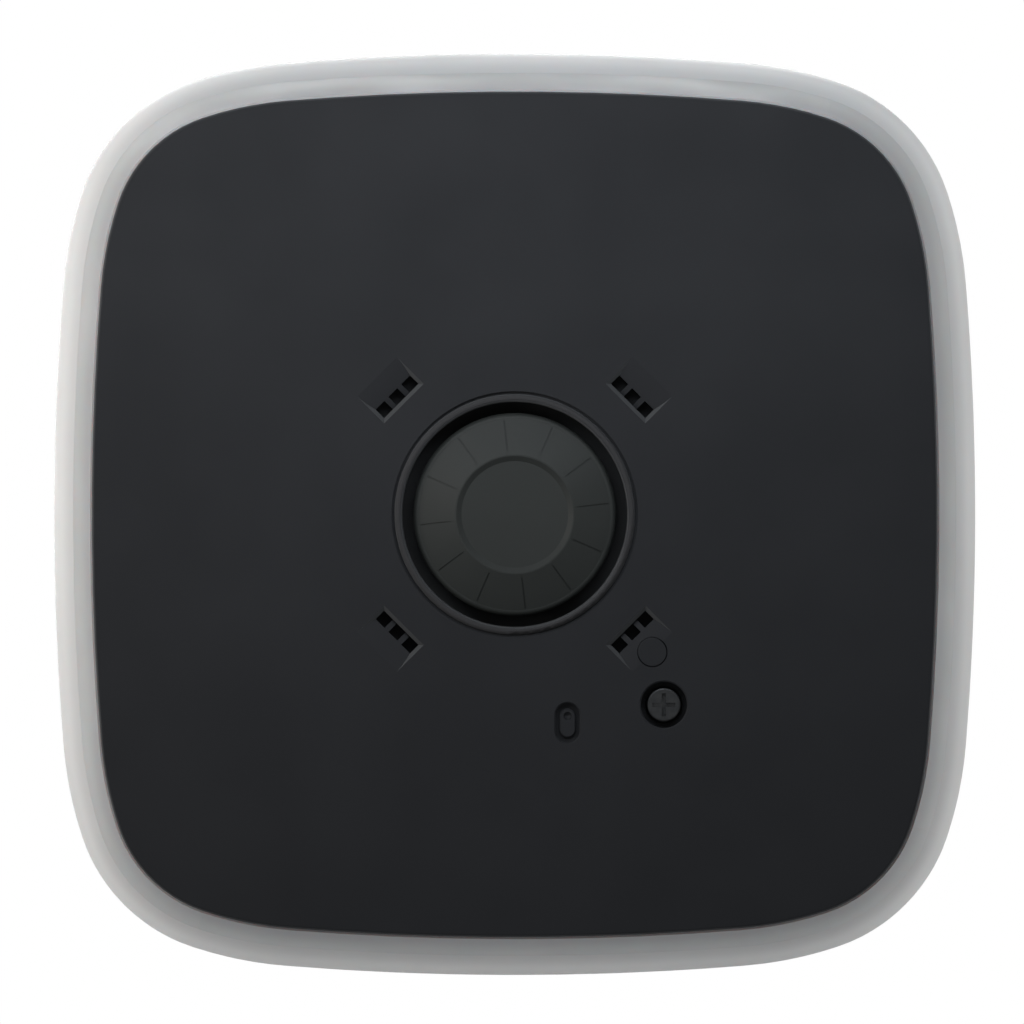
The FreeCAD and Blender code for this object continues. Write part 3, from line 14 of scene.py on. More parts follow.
import bpy
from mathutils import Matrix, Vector

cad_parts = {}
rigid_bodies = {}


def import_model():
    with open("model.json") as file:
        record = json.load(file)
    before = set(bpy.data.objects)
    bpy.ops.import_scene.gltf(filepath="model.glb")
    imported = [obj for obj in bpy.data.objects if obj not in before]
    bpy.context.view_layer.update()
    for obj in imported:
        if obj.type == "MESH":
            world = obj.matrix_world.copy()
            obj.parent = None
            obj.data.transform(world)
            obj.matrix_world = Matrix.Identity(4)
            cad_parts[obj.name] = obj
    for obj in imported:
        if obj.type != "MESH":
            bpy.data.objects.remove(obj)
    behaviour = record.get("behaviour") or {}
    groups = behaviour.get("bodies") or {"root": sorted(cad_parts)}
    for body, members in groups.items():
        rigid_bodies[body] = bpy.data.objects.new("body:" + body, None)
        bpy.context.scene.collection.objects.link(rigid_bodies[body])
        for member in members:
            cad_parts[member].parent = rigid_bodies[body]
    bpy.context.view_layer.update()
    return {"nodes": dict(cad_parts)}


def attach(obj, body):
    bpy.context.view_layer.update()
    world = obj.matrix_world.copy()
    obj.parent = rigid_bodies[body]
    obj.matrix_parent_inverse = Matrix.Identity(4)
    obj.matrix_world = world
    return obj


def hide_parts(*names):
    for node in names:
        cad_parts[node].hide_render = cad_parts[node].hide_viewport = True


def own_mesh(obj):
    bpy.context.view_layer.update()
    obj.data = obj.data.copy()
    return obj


LOG = logging.getLogger("siren")
MM = 0.001
# One wave of Blender's wave texture is this long at a scale of 1.
WAVE_LENGTH = math.tau / 20
# Most values of a noise texture lie between these two.
NOISE_SPAN = (0.35, 0.65)

Socket = bpy.types.NodeSocket
Tree = bpy.types.NodeTree


def linear(colour: str) -> tuple[float, float, float, float]:
    """Turns an sRGB hex colour into linear values.

    Args:
        colour: the colour as "#rrggbb".

    Returns:
        Linear red, green, blue and an alpha of 1.
    """
    parts = [int(colour[i : i + 2], 16) / 255 for i in (1, 3, 5)]
    red, green, blue = (
        p / 12.92 if p <= 0.04045 else ((p + 0.055) / 1.055) ** 2.4 for p in parts
    )
    return red, green, blue, 1.0


def add_node(
    tree: Tree,
    kind: str,
    settings: dict[str | int, Any] | None = None,
    links: dict[str | int, Socket] | None = None,
) -> bpy.types.Node:
    """Adds one node to a tree.

    Args:
        tree: the tree that gets the node.
        kind: Blender's name of the node's type.
        settings: values by the name of the node's attribute, or by the name or number of its input.
        links: the socket that feeds each input, by the input's name or number.

    Returns:
        The new node.
    """
    node = tree.nodes.new(kind)
    for name, value in (settings or {}).items():
        if isinstance(name, str) and hasattr(node, name):
            setattr(node, name, value)
        else:
            node.inputs[name].default_value = value
    for name, socket in (links or {}).items():
        tree.links.new(socket, node.inputs[name])
    return node


def smooth_step(start: float, end: float) -> dict[str | int, Any]:
    """Gives a map range node's settings for a smooth step from 0 at start to 1 at end."""
    return {"interpolation_type": "SMOOTHSTEP", "From Min": start, "From Max": end}


class Relief(Enum):
    """How the fine relief of a surface lies."""

    GRAIN = "pits and bumps with no direction"
    CELLS = "open cells"
    LINES_X = "lines that follow one another along X"
    LINES_Y = "lines that follow one another along Y"
    LINES_Z = "lines that follow one another along Z"
    WEAVE = "threads crossed in the board's plane"


@dataclass(frozen=True)
class Finish:
    """What a surface is made of and how it was made. Each kind below says what that gives the eye."""

    colour: str = "#808080"
    shade: str = "#707070"
    cloud_mm: float = 12.0
    roughness: float = 0.5
    roughness_swing: float = 0.06
    relief: Relief = Relief.GRAIN
    relief_mm: float = 0.5
    relief_depth_mm: float = 0.01
    metallic: float = 0.0
    ior: float = 1.5
    specular: float = 0.5
    coat: float = 0.0
    sheen: float = 0.0
    subsurface: float = 0.0
    subsurface_mm: float = 1.0
    # Painted shade: a colour given here turns into the plain colour between two depths from the wall.
    painted_shade: str = ""
    painted_shade_mm: tuple[float, float] = (0.0, 1.0)

    @property
    def name(self) -> str:
        """The material's name."""
        return type(self).__name__

    def height(self, tree: Tree, coords: Socket) -> Socket:
        """Adds the texture of the surface's fine relief.

        Args:
            tree: the material's tree.
            coords: the surface's place, in metres.

        Returns:
            The relief's height, from 0 to 1.
        """
        scale = 1 / (self.relief_mm * MM)
        if self.relief is Relief.GRAIN:
            noise = {"Scale": scale, "Detail": 3.0, "Roughness": 0.6}
            return add_node(tree, "ShaderNodeTexNoise", noise, {"Vector": coords}).outputs[0]
        if self.relief is Relief.CELLS:
            return add_node(
                tree, "ShaderNodeTexVoronoi", {"Scale": scale}, {"Vector": coords}
            ).outputs[0]
        axes = {
            Relief.LINES_X: "X",
            Relief.LINES_Y: "Y",
            Relief.LINES_Z: "Z",
            Relief.WEAVE: "XZ",
        }[self.relief]
        waves = [
            add_node(
                tree,
                "ShaderNodeTexWave",
                {
                    "bands_direction": axis,
                    "Scale": scale * WAVE_LENGTH,
                    "Distortion": 0.6,
                    "Detail": 1.0,
                },
                {"Vector": coords},
            ).outputs[1]
            for axis in axes
        ]
        if len(waves) == 1:
            return waves[0]
        return add_node(
            tree, "ShaderNodeMath", {"operation": "MULTIPLY"}, {0: waves[0], 1: waves[1]}
        ).outputs[0]

    def tint(self, tree: Tree, coords: Socket, cloud: Socket) -> Socket:
        """Adds the surface's colour, which drifts between colour and shade.

        Args:
            tree: the material's tree.
            coords: the surface's place, in metres.
            cloud: a slow drift from 0 to 1.

        Returns:
            The colour.
        """
        plain = add_node(
            tree,
            "ShaderNodeMix",
            {"data_type": "RGBA", 6: linear(self.colour), 7: linear(self.shade)},
            {0: cloud},
        ).outputs[2]
        if not self.painted_shade:
            return plain
        # Painted shade near the wall, turning into the plain colour further from it.
        depth = add_node(tree, "ShaderNodeSeparateXYZ", links={0: coords}).outputs["Y"]
        start, end = self.painted_shade_mm
        share = add_node(
            tree, "ShaderNodeMapRange", smooth_step(start * MM, end * MM), {"Value": depth}
        ).outputs[0]
        return add_node(
            tree,
            "ShaderNodeMix",
            {"data_type": "RGBA", 6: linear(self.painted_shade)},
            {0: share, 7: plain},
        ).outputs[2]

    def material(self) -> bpy.types.Material:
        """Makes the finish's material once, and gives it again when it is asked for again.

        Returns:
            The material.
        """
        found = bpy.data.materials.get(self.name)
        if found is not None:
            return found
        made = bpy.data.materials.new(self.name)
        made.use_nodes = True
        tree = made.node_tree
        tree.nodes.clear()
        coords = add_node(tree, "ShaderNodeTexCoord").outputs["Object"]
        noise = add_node(
            tree,
            "ShaderNodeTexNoise",
            {"Scale": 1 / (self.cloud_mm * MM), "Detail": 2.0},
            {"Vector": coords},
        )
        least, most = NOISE_SPAN
        cloud = add_node(
            tree,
            "ShaderNodeMapRange",
            {"From Min": least, "From Max": most},
            {"Value": noise.outputs[0]},
        ).outputs[0]
        gloss = add_node(
            tree,
            "ShaderNodeMapRange",
            {
                "To Min": self.roughness - self.roughness_swing,
                "To Max": self.roughness + self.roughness_swing,
            },
            {"Value": cloud},
        ).outputs[0]
        bump = add_node(
            tree,
            "ShaderNodeBump",
            {"Strength": 1.0, "Distance": self.relief_depth_mm * MM},
            {"Height": self.height(tree, coords)},
        ).outputs[0]
        shader = add_node(
            tree,
            "ShaderNodeBsdfPrincipled",
            {
                "Metallic": self.metallic,
                "IOR": self.ior,
                "Specular IOR Level": self.specular,
                "Coat Weight": self.coat,
                "Sheen Weight": self.sheen,
                "Subsurface Weight": self.subsurface,
                "Subsurface Scale": self.subsurface_mm * MM,
            },
            {
                "Base Color": self.tint(tree, coords, cloud),
                "Roughness": gloss,
                "Normal": bump,
            },
        )
        add_node(tree, "ShaderNodeOutputMaterial", links={"Surface": shader.outputs[0]})
        return made

    def dress(self, *pieces: bpy.types.Object) -> None:
        """Gives every material slot of the pieces this finish.

        Args:
            pieces: the objects to dress.
        """
        material = self.material()
        for piece in pieces:
            if not piece.material_slots:
                piece.data.materials.append(material)
            for slot in piece.material_slots:
                slot.material = material


@dataclass(frozen=True)
class SparkErodedCharcoalAbs(Finish):
    """Charcoal ABS from a spark-eroded mould: the pits break the gloss into an even satin."""

    colour: str = "#1d1e20"
    shade: str = "#1b1c1e"
    cloud_mm: float = 30.0
    roughness: float = 0.6
    roughness_swing: float = 0.03
    # The pits are 0.2 mm across. They are drawn at 0.45 mm, because finer ones don't show.
    relief_mm: float = 0.45
    relief_depth_mm: float = 0.004
    specular: float = 0.08


@dataclass(frozen=True)
class CharcoalAbsWithPaintedHighlights(SparkErodedCharcoalAbs):
    """The wall plate's ABS with painted highlights: its bevelled edges and its bead are painted
    lighter.
    """

    # Painted highlight on the bevelled edges, in place of the shine they catch.
    edge_highlight: str = "#363738"
    # Painted highlight on the bead, in place of the shine its rounding catches.
    bead_highlight: str = "#29292a"
    # Radius of the bead's crest round the sound outlet, and half the width of its painted highlight.
    bead_mm: float = 25.25
    bead_half_mm: float = 0.5
    # Edges get the full painted highlight up to half this depth, and none beyond it.
    edge_depth_mm: float = 1.5
    # The Y share of a surface's normal at which an edge's painted highlight begins, and at which it
    # is full.
    edge_lean: tuple[float, float] = (0.94, 0.76)
    # X and Z of the lock screw's and the button's mouths, which get no painted highlight.
    plain_mouths_mm: tuple[tuple[float, float], ...] = ((32.2, -41.1), (11.4, -45.0))
    plain_reach_mm: tuple[float, float] = (7.0, 8.0)

    def tint(self, tree: Tree, coords: Socket, cloud: Socket) -> Socket:
        """Adds the charcoal with painted highlights on its edges and bead.

        Args:
            tree: the material's tree.
            coords: the surface's place, in metres.
            cloud: a slow drift from 0 to 1.

        Returns:
            The colour.
        """
        plain = super().tint(tree, coords, cloud)
        normal = add_node(tree, "ShaderNodeNewGeometry").outputs["Normal"]
        lean = add_node(tree, "ShaderNodeSeparateXYZ", links={0: normal}).outputs["Y"]
        facing = add_node(
            tree, "ShaderNodeMath", {"operation": "ABSOLUTE"}, {0: lean}
        ).outputs[0]
        place = add_node(tree, "ShaderNodeSeparateXYZ", links={0: coords}).outputs
        flat = add_node(
            tree, "ShaderNodeCombineXYZ", links={"X": place["X"], "Y": place["Z"]}
        ).outputs[0]
        depth = self.edge_depth_mm * MM
        steps = [(facing, self.edge_lean), (place["Y"], (depth, depth / 2))]
        plain_reach = tuple(end * MM for end in self.plain_reach_mm)
        for x, z in self.plain_mouths_mm:
            away = add_node(
                tree,
                "ShaderNodeVectorMath",
                {"operation": "DISTANCE", 1: (x * MM, z * MM, 0.0)},
                {0: flat},
            ).outputs["Value"]
            steps.append((away, plain_reach))
        shares = [
            add_node(tree, "ShaderNodeMapRange", smooth_step(*ends), {"Value": value}).outputs[0]
            for value, ends in steps
        ]
        edge_highlight = shares[0]
        for share in shares[1:]:
            edge_highlight = add_node(
                tree, "ShaderNodeMath", {"operation": "MULTIPLY"}, {0: edge_highlight, 1: share}
            ).outputs[0]
        reach = add_node(
            tree, "ShaderNodeVectorMath", {"operation": "LENGTH"}, {0: flat}
        ).outputs["Value"]
        on_bead = add_node(
            tree,
            "ShaderNodeMath",
            {"operation": "COMPARE", 1: self.bead_mm * MM, 2: self.bead_half_mm * MM},
            {0: reach},
        ).outputs[0]
        # Painted highlight on the bead.
        bead_highlighted = add_node(
            tree,
            "ShaderNodeMix",
            {"data_type": "RGBA", 7: linear(self.bead_highlight)},
            {0: on_bead, 6: plain},
        ).outputs[2]
        # Painted highlight on the edges, left off the bead.
        painted_edge_highlight = add_node(
            tree,
            "ShaderNodeMath",
            {"operation": "SUBTRACT", "use_clamp": True},
            {0: edge_highlight, 1: on_bead},
        ).outputs[0]
        return add_node(
            tree,
            "ShaderNodeMix",
            {"data_type": "RGBA", 7: linear(self.edge_highlight)},
            {0: painted_edge_highlight, 6: bead_highlighted},
        ).outputs[2]


@dataclass(frozen=True)
class PolishedCharcoalAbs(SparkErodedCharcoalAbs):
    """Charcoal ABS from a finely drawn mould: smoother, so bevels catch the light."""

    colour: str = "#242625"
    shade: str = "#222423"
    roughness: float = 0.5
    relief_depth_mm: float = 0.002
    specular: float = 0.1


@dataclass(frozen=True)
class MouldedPaleAsa(Finish):
    """Pale ASA, moulded for outdoors: a bright satin skin, with painted shade that makes it a little
    darker next to the light band.
    """

    colour: str = "#cfcfce"
    shade: str = "#cccccb"
    cloud_mm: float = 40.0
    roughness: float = 0.55
    roughness_swing: float = 0.03
    relief_mm: float = 0.5
    relief_depth_mm: float = 0.003
    ior: float = 1.49
    specular: float = 0.15
    subsurface: float = 0.1
    subsurface_mm: float = 1.5
    # Painted shade: a little darker next to the light band.
    painted_shade: str = "#b4b4b4"
    painted_shade_mm: tuple[float, float] = (21.0, 29.0)


@dataclass(frozen=True)
class FrostedPolycarbonate(Finish):
    """Frosted polycarbonate: light goes in a little way and comes out soft and slightly grey."""

    colour: str = "#a9aaaa"
    shade: str = "#a6a7a7"
    cloud_mm: float = 25.0
    roughness: float = 0.6
    relief_mm: float = 0.35
    relief_depth_mm: float = 0.003
    ior: float = 1.58
    specular: float = 0.12
    subsurface: float = 0.25
    subsurface_mm: float = 3.0
    # Painted shade: the band is painted darker towards the wall, where it meets the plate's edge.
    painted_shade: str = "#8c8d8e"
    painted_shade_mm: tuple[float, float] = (2.0, 21.0)


@dataclass(frozen=True)
class MouldedGreyNylon(Finish):
    """Glass-filled nylon of the inner frame: mid grey, with flow clouds and a dull skin."""

    colour: str = "#3b3e40"
    shade: str = "#333638"
    cloud_mm: float = 18.0
    roughness: float = 0.55
    relief_mm: float = 0.6
    relief_depth_mm: float = 0.006
    specular: float = 0.3


@dataclass(frozen=True)
class MouldedHornNylon(MouldedGreyNylon):
    """Glass-filled nylon of the horn: dull, so the deep mouth round the disc stays dark."""

    colour: str = "#333435"
    shade: str = "#2e2f30"
    roughness: float = 0.6
    specular: float = 0.1


@dataclass(frozen=True)
class MouldedEpdm(Finish):
    """Moulded EPDM rubber: nearly black, dull, with the bloom that comes out of the rubber."""

    colour: str = "#161718"
    shade: str = "#1f2122"
    cloud_mm: float = 6.0
    roughness: float = 0.75
    relief_mm: float = 0.4
    relief_depth_mm: float = 0.01
    specular: float = 0.2
    sheen: float = 0.05


@dataclass(frozen=True)
class SolderMaskedBoard(Finish):
    """Glass-cloth board under green solder mask: glossy, with the cloth's threads just showing."""

    colour: str = "#1d5a3a"
    shade: str = "#236645"
    cloud_mm: float = 5.0
    roughness: float = 0.32
    relief: Relief = Relief.WEAVE
    relief_mm: float = 0.9
    relief_depth_mm: float = 0.012
    coat: float = 0.4
    track: str = "#3f8a5f"
    # Spacing of the tracks, and their width and length in spacings.
    track_mm: float = 2.4
    track_width: float = 0.06
    track_length: float = 2.6

    def tint(self, tree: Tree, coords: Socket, cloud: Socket) -> Socket:
        """Adds the mask's green, lighter over the copper tracks under it.

        Args:
            tree: the material's tree.
            coords: the surface's place, in metres.
            cloud: a slow drift from 0 to 1.

        Returns:
            The colour.
        """
        plain = super().tint(tree, coords, cloud)
        upright = add_node(
            tree,
            "ShaderNodeMapping",
            {"Rotation": (math.radians(90), 0.0, 0.0)},
            {"Vector": coords},
        ).outputs[0]
        # The joints of a brick pattern are the tracks.
        tracks = add_node(
            tree,
            "ShaderNodeTexBrick",
            {
                "Scale": 1 / (self.track_mm * MM),
                "Mortar Size": self.track_width,
                "Brick Width": self.track_length,
                "Color1": linear("#000000"),
                "Color2": linear("#000000"),
                "Mortar": linear("#ffffff"),
            },
            {"Vector": upright},
        ).outputs["Color"]
        return add_node(
            tree,
            "ShaderNodeMix",
            {"data_type": "RGBA", 7: linear(self.track)},
            {0: tracks, 6: plain},
        ).outputs[2]


@dataclass(frozen=True)
class MouldedEpoxy(Finish):
    """Black moulding epoxy of chips and switches: matt, with a fine even grain."""

    colour: str = "#1b1c1e"
    shade: str = "#222326"
    cloud_mm: float = 4.0
    roughness: float = 0.6
    relief_mm: float = 0.15
    relief_depth_mm: float = 0.004
    specular: float = 0.3


@dataclass(frozen=True)
class MouldedConnectorNylon(Finish):
    """Cream nylon of the board connectors: waxy and a little see-through at its edges."""

    colour: str = "#e6e1d3"
    shade: str = "#ddd6c4"
    cloud_mm: float = 5.0
    roughness: float = 0.45
    relief_mm: float = 0.3
    relief_depth_mm: float = 0.003
    subsurface: float = 0.2


@dataclass(frozen=True)
class SiliconeFilledEmitter(Finish):
    """Light emitters with silicone filling: yellow phosphor in a white reflector."""

    colour: str = "#e9c54a"
    shade: str = "#f3ead0"
    cloud_mm: float = 1.6
    roughness: float = 0.3
    relief_mm: float = 0.5
    relief_depth_mm: float = 0.003
    subsurface: float = 0.2


@dataclass(frozen=True)
class ZincPlatedSteel(Finish):
    """Zinc-plated steel of the screws: bright, faintly bluish, clouded by the plating bath."""

    colour: str = "#b9bdc0"
    shade: str = "#a2a7ac"
    cloud_mm: float = 1.5
    roughness: float = 0.3
    roughness_swing: float = 0.1
    relief_mm: float = 0.25
    relief_depth_mm: float = 0.003
    metallic: float = 1.0


@dataclass(frozen=True)
class BlackenedSteel(ZincPlatedSteel):
    """Black-passivated steel of the lock screw: dark, with the metal's own shine on its edges."""

    colour: str = "#2f3031"
    shade: str = "#28292a"
    roughness: float = 0.38


@dataclass(frozen=True)
class DrawnSpringSteel(ZincPlatedSteel):
    """Drawn spring wire: darker than plating, with lines from the die."""

    colour: str = "#9a9b9c"
    shade: str = "#858789"
    relief: Relief = Relief.LINES_Y
    relief_mm: float = 0.3


@dataclass(frozen=True)
class RolledNickelStrip(ZincPlatedSteel):
    """Rolled nickel-plated strip of the contacts: warm white metal with rolling lines."""

    colour: str = "#c9c3b8"
    shade: str = "#b8b2a7"
    cloud_mm: float = 8.0
    relief: Relief = Relief.LINES_X
    relief_mm: float = 0.4


@dataclass(frozen=True)
class PressedTinplate(ZincPlatedSteel):
    """Pressed tinplate of the radio's screening can: soft grey shine."""

    colour: str = "#c2c6c8"
    shade: str = "#b3b8bb"
    cloud_mm: float = 6.0
    roughness: float = 0.38
    relief_mm: float = 0.6


@dataclass(frozen=True)
class TurnedBrass(ZincPlatedSteel):
    """Turned brass: yellow, with the lathe tool's rings."""

    colour: str = "#c8a24f"
    shade: str = "#b58f40"
    cloud_mm: float = 5.0
    relief: Relief = Relief.LINES_Y
    relief_mm: float = 0.25


@dataclass(frozen=True)
class SilveredPiezoCeramic(Finish):
    """Fired piezo ceramic under screened silver: chalky white-grey with a fine grain."""

    colour: str = "#cfd0cc"
    shade: str = "#bfc1bd"
    cloud_mm: float = 3.0
    roughness: float = 0.5
    relief_mm: float = 0.2
    relief_depth_mm: float = 0.006
    metallic: float = 0.5


@dataclass(frozen=True)
class EnamelledCopperWinding(Finish):
    """Turns of enamelled copper wire, side by side: red-brown and glossy."""

    colour: str = "#9c4a22"
    shade: str = "#b05a2b"
    cloud_mm: float = 4.0
    roughness: float = 0.28
    relief: Relief = Relief.LINES_Y
    relief_mm: float = 0.5
    relief_depth_mm: float = 0.15
    metallic: float = 0.8
    coat: float = 0.5


@dataclass(frozen=True)
class SleevedAluminiumCan(Finish):
    """Capacitor cans in a shrunk dark sleeve: glossy, lightly wrinkled."""

    colour: str = "#232c44"
    shade: str = "#2b3550"
    cloud_mm: float = 5.0
    roughness: float = 0.3
    relief_mm: float = 1.2
    relief_depth_mm: float = 0.02
    coat: float = 0.3


@dataclass(frozen=True)
class ShrunkCellSleeve(Finish):
    """Plain film sleeve shrunk on a dry cell: dark graphite, glossy, with long shallow wrinkles."""

    colour: str = "#2b2d30"
    shade: str = "#303236"
    cloud_mm: float = 20.0
    roughness: float = 0.26
    relief_mm: float = 2.5
    relief_depth_mm: float = 0.02
    coat: float = 0.4


@dataclass(frozen=True)
class OpenCellFoam(Finish):
    """Open-cell foam of the cell pads: dark grey and full of small holes."""

    colour: str = "#3a3a3c"
    shade: str = "#2e2e30"
    cloud_mm: float = 3.0
    roughness: float = 0.9
    relief: Relief = Relief.CELLS
    relief_mm: float = 0.8
    relief_depth_mm: float = 0.4
    specular: float = 0.1


@dataclass(frozen=True)
class ExtrudedRedInsulation(Finish):
    """Extruded PVC insulation, red: smooth and softly glossy."""

    colour: str = "#a3201f"
    shade: str = "#931b1b"
    cloud_mm: float = 10.0
    roughness: float = 0.38
    relief_mm: float = 1.0
    relief_depth_mm: float = 0.01


@dataclass(frozen=True)
class ExtrudedBlackInsulation(ExtrudedRedInsulation):
    """Extruded PVC insulation, black."""

    colour: str = "#17181a"
    shade: str = "#1e1f21"


@dataclass(frozen=True)
class PolyimideFilm(Finish):
    """Polyimide film of the flat cable: amber, with its copper tracks as lines."""

    colour: str = "#b5722a"
    shade: str = "#a56524"
    cloud_mm: float = 6.0
    roughness: float = 0.25
    relief: Relief = Relief.LINES_Z
    relief_mm: float = 1.0
    relief_depth_mm: float = 0.03
    coat: float = 0.5


@dataclass
class SubAssembly:
    """A part of the siren that is dressed together."""

    nodes: dict[str, bpy.types.Object]
    finishes: dict[str, Finish] = field(default_factory=dict)

    def dress(self) -> None:
        """Gives each of its nodes its finish."""
        for name, finish in self.finishes.items():
            finish.dress(self.nodes[name])
            LOG.info("%s: %s in %s", type(self).__name__, name, finish.name)


@dataclass
class Shell(SubAssembly):
    """The wall plate, light band, front cover and their seals."""

    finishes: dict[str, Finish] = field(
        default_factory=lambda: {
            "rear_housing": CharcoalAbsWithPaintedHighlights(),
            "light_band": FrostedPolycarbonate(),
            "front_cover": MouldedPaleAsa(),
            "rear_seal": MouldedEpdm(),
            "front_seal": MouldedEpdm(),
            "chassis": MouldedGreyNylon(),
        }
    )


@dataclass
class Horn(SubAssembly):
    """The horn with its deflector disc and its driver."""

    finishes: dict[str, Finish] = field(
        default_factory=lambda: {
            "deflector": PolishedCharcoalAbs(),
            "horn_bell": MouldedHornNylon(),
            "horn_gasket": MouldedEpdm(),
            "driver_housing": MouldedGreyNylon(),
            "diaphragm_seal": MouldedEpdm(),
            "diaphragm": TurnedBrass(),
            "piezo_element": SilveredPiezoCeramic(),
            "driver_leads": ExtrudedRedInsulation(),
        }
    )


@dataclass(frozen=True)
class CoilSpring:
    """The wound spring behind the tamper plunger's head, which shortens as the plunger goes in."""

    # X and Z of its axis.
    middle_mm: tuple[float, float] = (29.698, -29.698)
    wire_mm: float = 0.35
    radius_mm: float = 2.825
    turns: int = 4
    # Y of the wire's middle at both ends, and of the seat that stays where it is.
    ends_mm: tuple[float, float] = (4.425, 7.775)
    seat_mm: float = 8.0
    # The share of its length that is left when the plunger is fully in.
    pressed_share: float = 0.6
    steps_a_turn: int = 36
    sides: int = 10

    def point(self, step: int, side: int) -> tuple[float, float, float]:
        """Finds one point of the wire's skin.

        Args:
            step: how many steps along the winding.
            side: how many sides round the wire.

        Returns:
            The point, in metres.
        """
        turned = math.tau * step / self.steps_a_turn
        rolled = math.tau * side / self.sides
        reach = self.radius_mm + self.wire_mm / 2 * math.cos(rolled)
        first, last = self.ends_mm
        along = first + (last - first) * step / (self.turns * self.steps_a_turn)
        x, z = self.middle_mm
        return (
            (x + reach * math.cos(turned)) * MM,
            (along + self.wire_mm / 2 * math.sin(rolled)) * MM,
            (z - reach * math.sin(turned)) * MM,
        )

    def wind(self) -> bpy.types.Mesh:
        """Makes the wire's closed skin along its winding.

        Returns:
            The mesh.
        """
        steps, sides = self.turns * self.steps_a_turn, self.sides
        points = [self.point(step, side) for step in range(steps + 1) for side in range(sides)]
        skin = [
            (
                step * sides + side,
                (step + 1) * sides + side,
                (step + 1) * sides + (side + 1) % sides,
                step * sides + (side + 1) % sides,
            )
            for step in range(steps)
            for side in range(sides)
        ]
        first_end = tuple(range(sides))
        last_end = tuple(reversed(range(steps * sides, (steps + 1) * sides)))
        mesh = bpy.data.meshes.new("plunger_spring")
        mesh.from_pydata(points, [], [*skin, first_end, last_end])
        mesh.polygons.foreach_set("use_smooth", [True] * len(skin) + [False, False])
        return mesh

    def build(self) -> bpy.types.Object:
        """Puts the spring in place of its CAD solid.

        Returns:
            The spring.
        """
        spring = bpy.data.objects.new("plunger_spring", self.wind())
        bpy.context.scene.collection.objects.link(spring)
        DrawnSpringSteel().dress(spring)
        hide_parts("tamper_spring")
        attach(spring, "siren")
        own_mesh(spring)
        return spring


@dataclass
class Controls(SubAssembly):
    """What is worked from the wall side: the lock screw, the setup button and the tamper plunger."""

    spring: CoilSpring = field(default_factory=CoilSpring)
    finishes: dict[str, Finish] = field(
        default_factory=lambda: {
            "lock_screw": BlackenedSteel(),
            "lock_insert": TurnedBrass(),
            "setup_button": SparkErodedCharcoalAbs(),
            "setup_actuator": MouldedEpoxy(),
            "setup_switch": MouldedEpoxy(),
            "button_boot": MouldedEpdm(),
            "tamper_plunger": SparkErodedCharcoalAbs(),
            "plunger_clip": DrawnSpringSteel(),
            "tamper_switch": MouldedEpoxy(),
            "tamper_lever": DrawnSpringSteel(),
        }
    )

    def dress(self) -> None:
        """Gives each of its nodes its finish and winds the plunger's spring."""
        super().dress()
        spring = self.spring.build()
        LOG.info("%s: %s wound", type(self).__name__, spring.name)


@dataclass
class Power(SubAssembly):
    """The four cells with their contacts, pads and leads."""

    finishes: dict[str, Finish] = field(
        default_factory=lambda: {
            "cell_lower_left": ShrunkCellSleeve(),
            "cell_upper_left": ShrunkCellSleeve(),
            "cell_lower_right": ShrunkCellSleeve(),
            "cell_upper_right": ShrunkCellSleeve(),
            "positive_contacts": RolledNickelStrip(),
            "contact_springs": RolledNickelStrip(),
            "cell_link": RolledNickelStrip(),
            "cell_pads": OpenCellFoam(),
            "battery_lead_positive": ExtrudedRedInsulation(),
            "battery_lead_negative": ExtrudedBlackInsulation(),
        }
    )


@dataclass
class Electronics(SubAssembly):
    """The boards and what is soldered to them."""

    finishes: dict[str, Finish] = field(
        default_factory=lambda: {
            "main_board": SolderMaskedBoard(),
            "switch_board": SolderMaskedBoard(),
            "light_board_right": SolderMaskedBoard(),
            "light_board_top": SolderMaskedBoard(),
            "light_board_left": SolderMaskedBoard(),
            "light_board_bottom": SolderMaskedBoard(),
            "light_emitters": SiliconeFilledEmitter(),
            "flex_sockets": MouldedConnectorNylon(),
            "board_headers": MouldedConnectorNylon(),
            "flat_cable": PolyimideFilm(),
            "radio_module": PressedTinplate(),
            "boost_coil": EnamelledCopperWinding(),
            "capacitors": SleevedAluminiumCan(),
            "controller_chip": MouldedEpoxy(),
            "antenna": RolledNickelStrip(),
        }
    )


@dataclass
class Fixings(SubAssembly):
    """The screws inside."""

    finishes: dict[str, Finish] = field(
        default_factory=lambda: {
            "chassis_screws": ZincPlatedSteel(),
            "board_screws": ZincPlatedSteel(),
            "switch_board_screws": ZincPlatedSteel(),
            "horn_screws": ZincPlatedSteel(),
        }
    )


@dataclass(frozen=True)
class SoftLight:
    """One rectangular studio light. Its lengths are in metres and its power in watts."""

    name: str
    place: tuple[float, float, float]
    target: tuple[float, float, float]
    size: tuple[float, float]
    power: float
    colour: str = "#ffffff"
    # How wide the light spreads: 180 is a bare panel, and a honeycomb on it narrows that.
    spread_deg: float = 180.0

    def build(self) -> None:
        """Makes the light and turns it to its target."""
        data = bpy.data.lights.new(self.name, "AREA")
        data.shape = "RECTANGLE"
        data.size, data.size_y = self.size
        data.energy = self.power
        data.spread = math.radians(self.spread_deg)
        data.color = linear(self.colour)[:3]
        lamp = bpy.data.objects.new(self.name, data)
        bpy.context.scene.collection.objects.link(lamp)
        lamp.location = self.place
        towards = Vector(self.target) - Vector(self.place)
        lamp.rotation_euler = towards.to_track_quat("-Z", "Y").to_euler()
        lamp.visible_camera = False


def seen(tree: Tree) -> Socket:
    """Adds a test for rays that show the background: from the camera, a mirror or glass.

    Args:
        tree: the tree that gets the nodes.

    Returns:
        1 for such a ray and 0 for others.
    """
    path = add_node(tree, "ShaderNodeLightPath").outputs
    found = path["Is Camera Ray"]
    for ray in ("Is Glossy Ray", "Is Transmission Ray"):
        found = add_node(
            tree, "ShaderNodeMath", {"operation": "MAXIMUM"}, {0: found, 1: path[ray]}
        ).outputs[0]
    return found


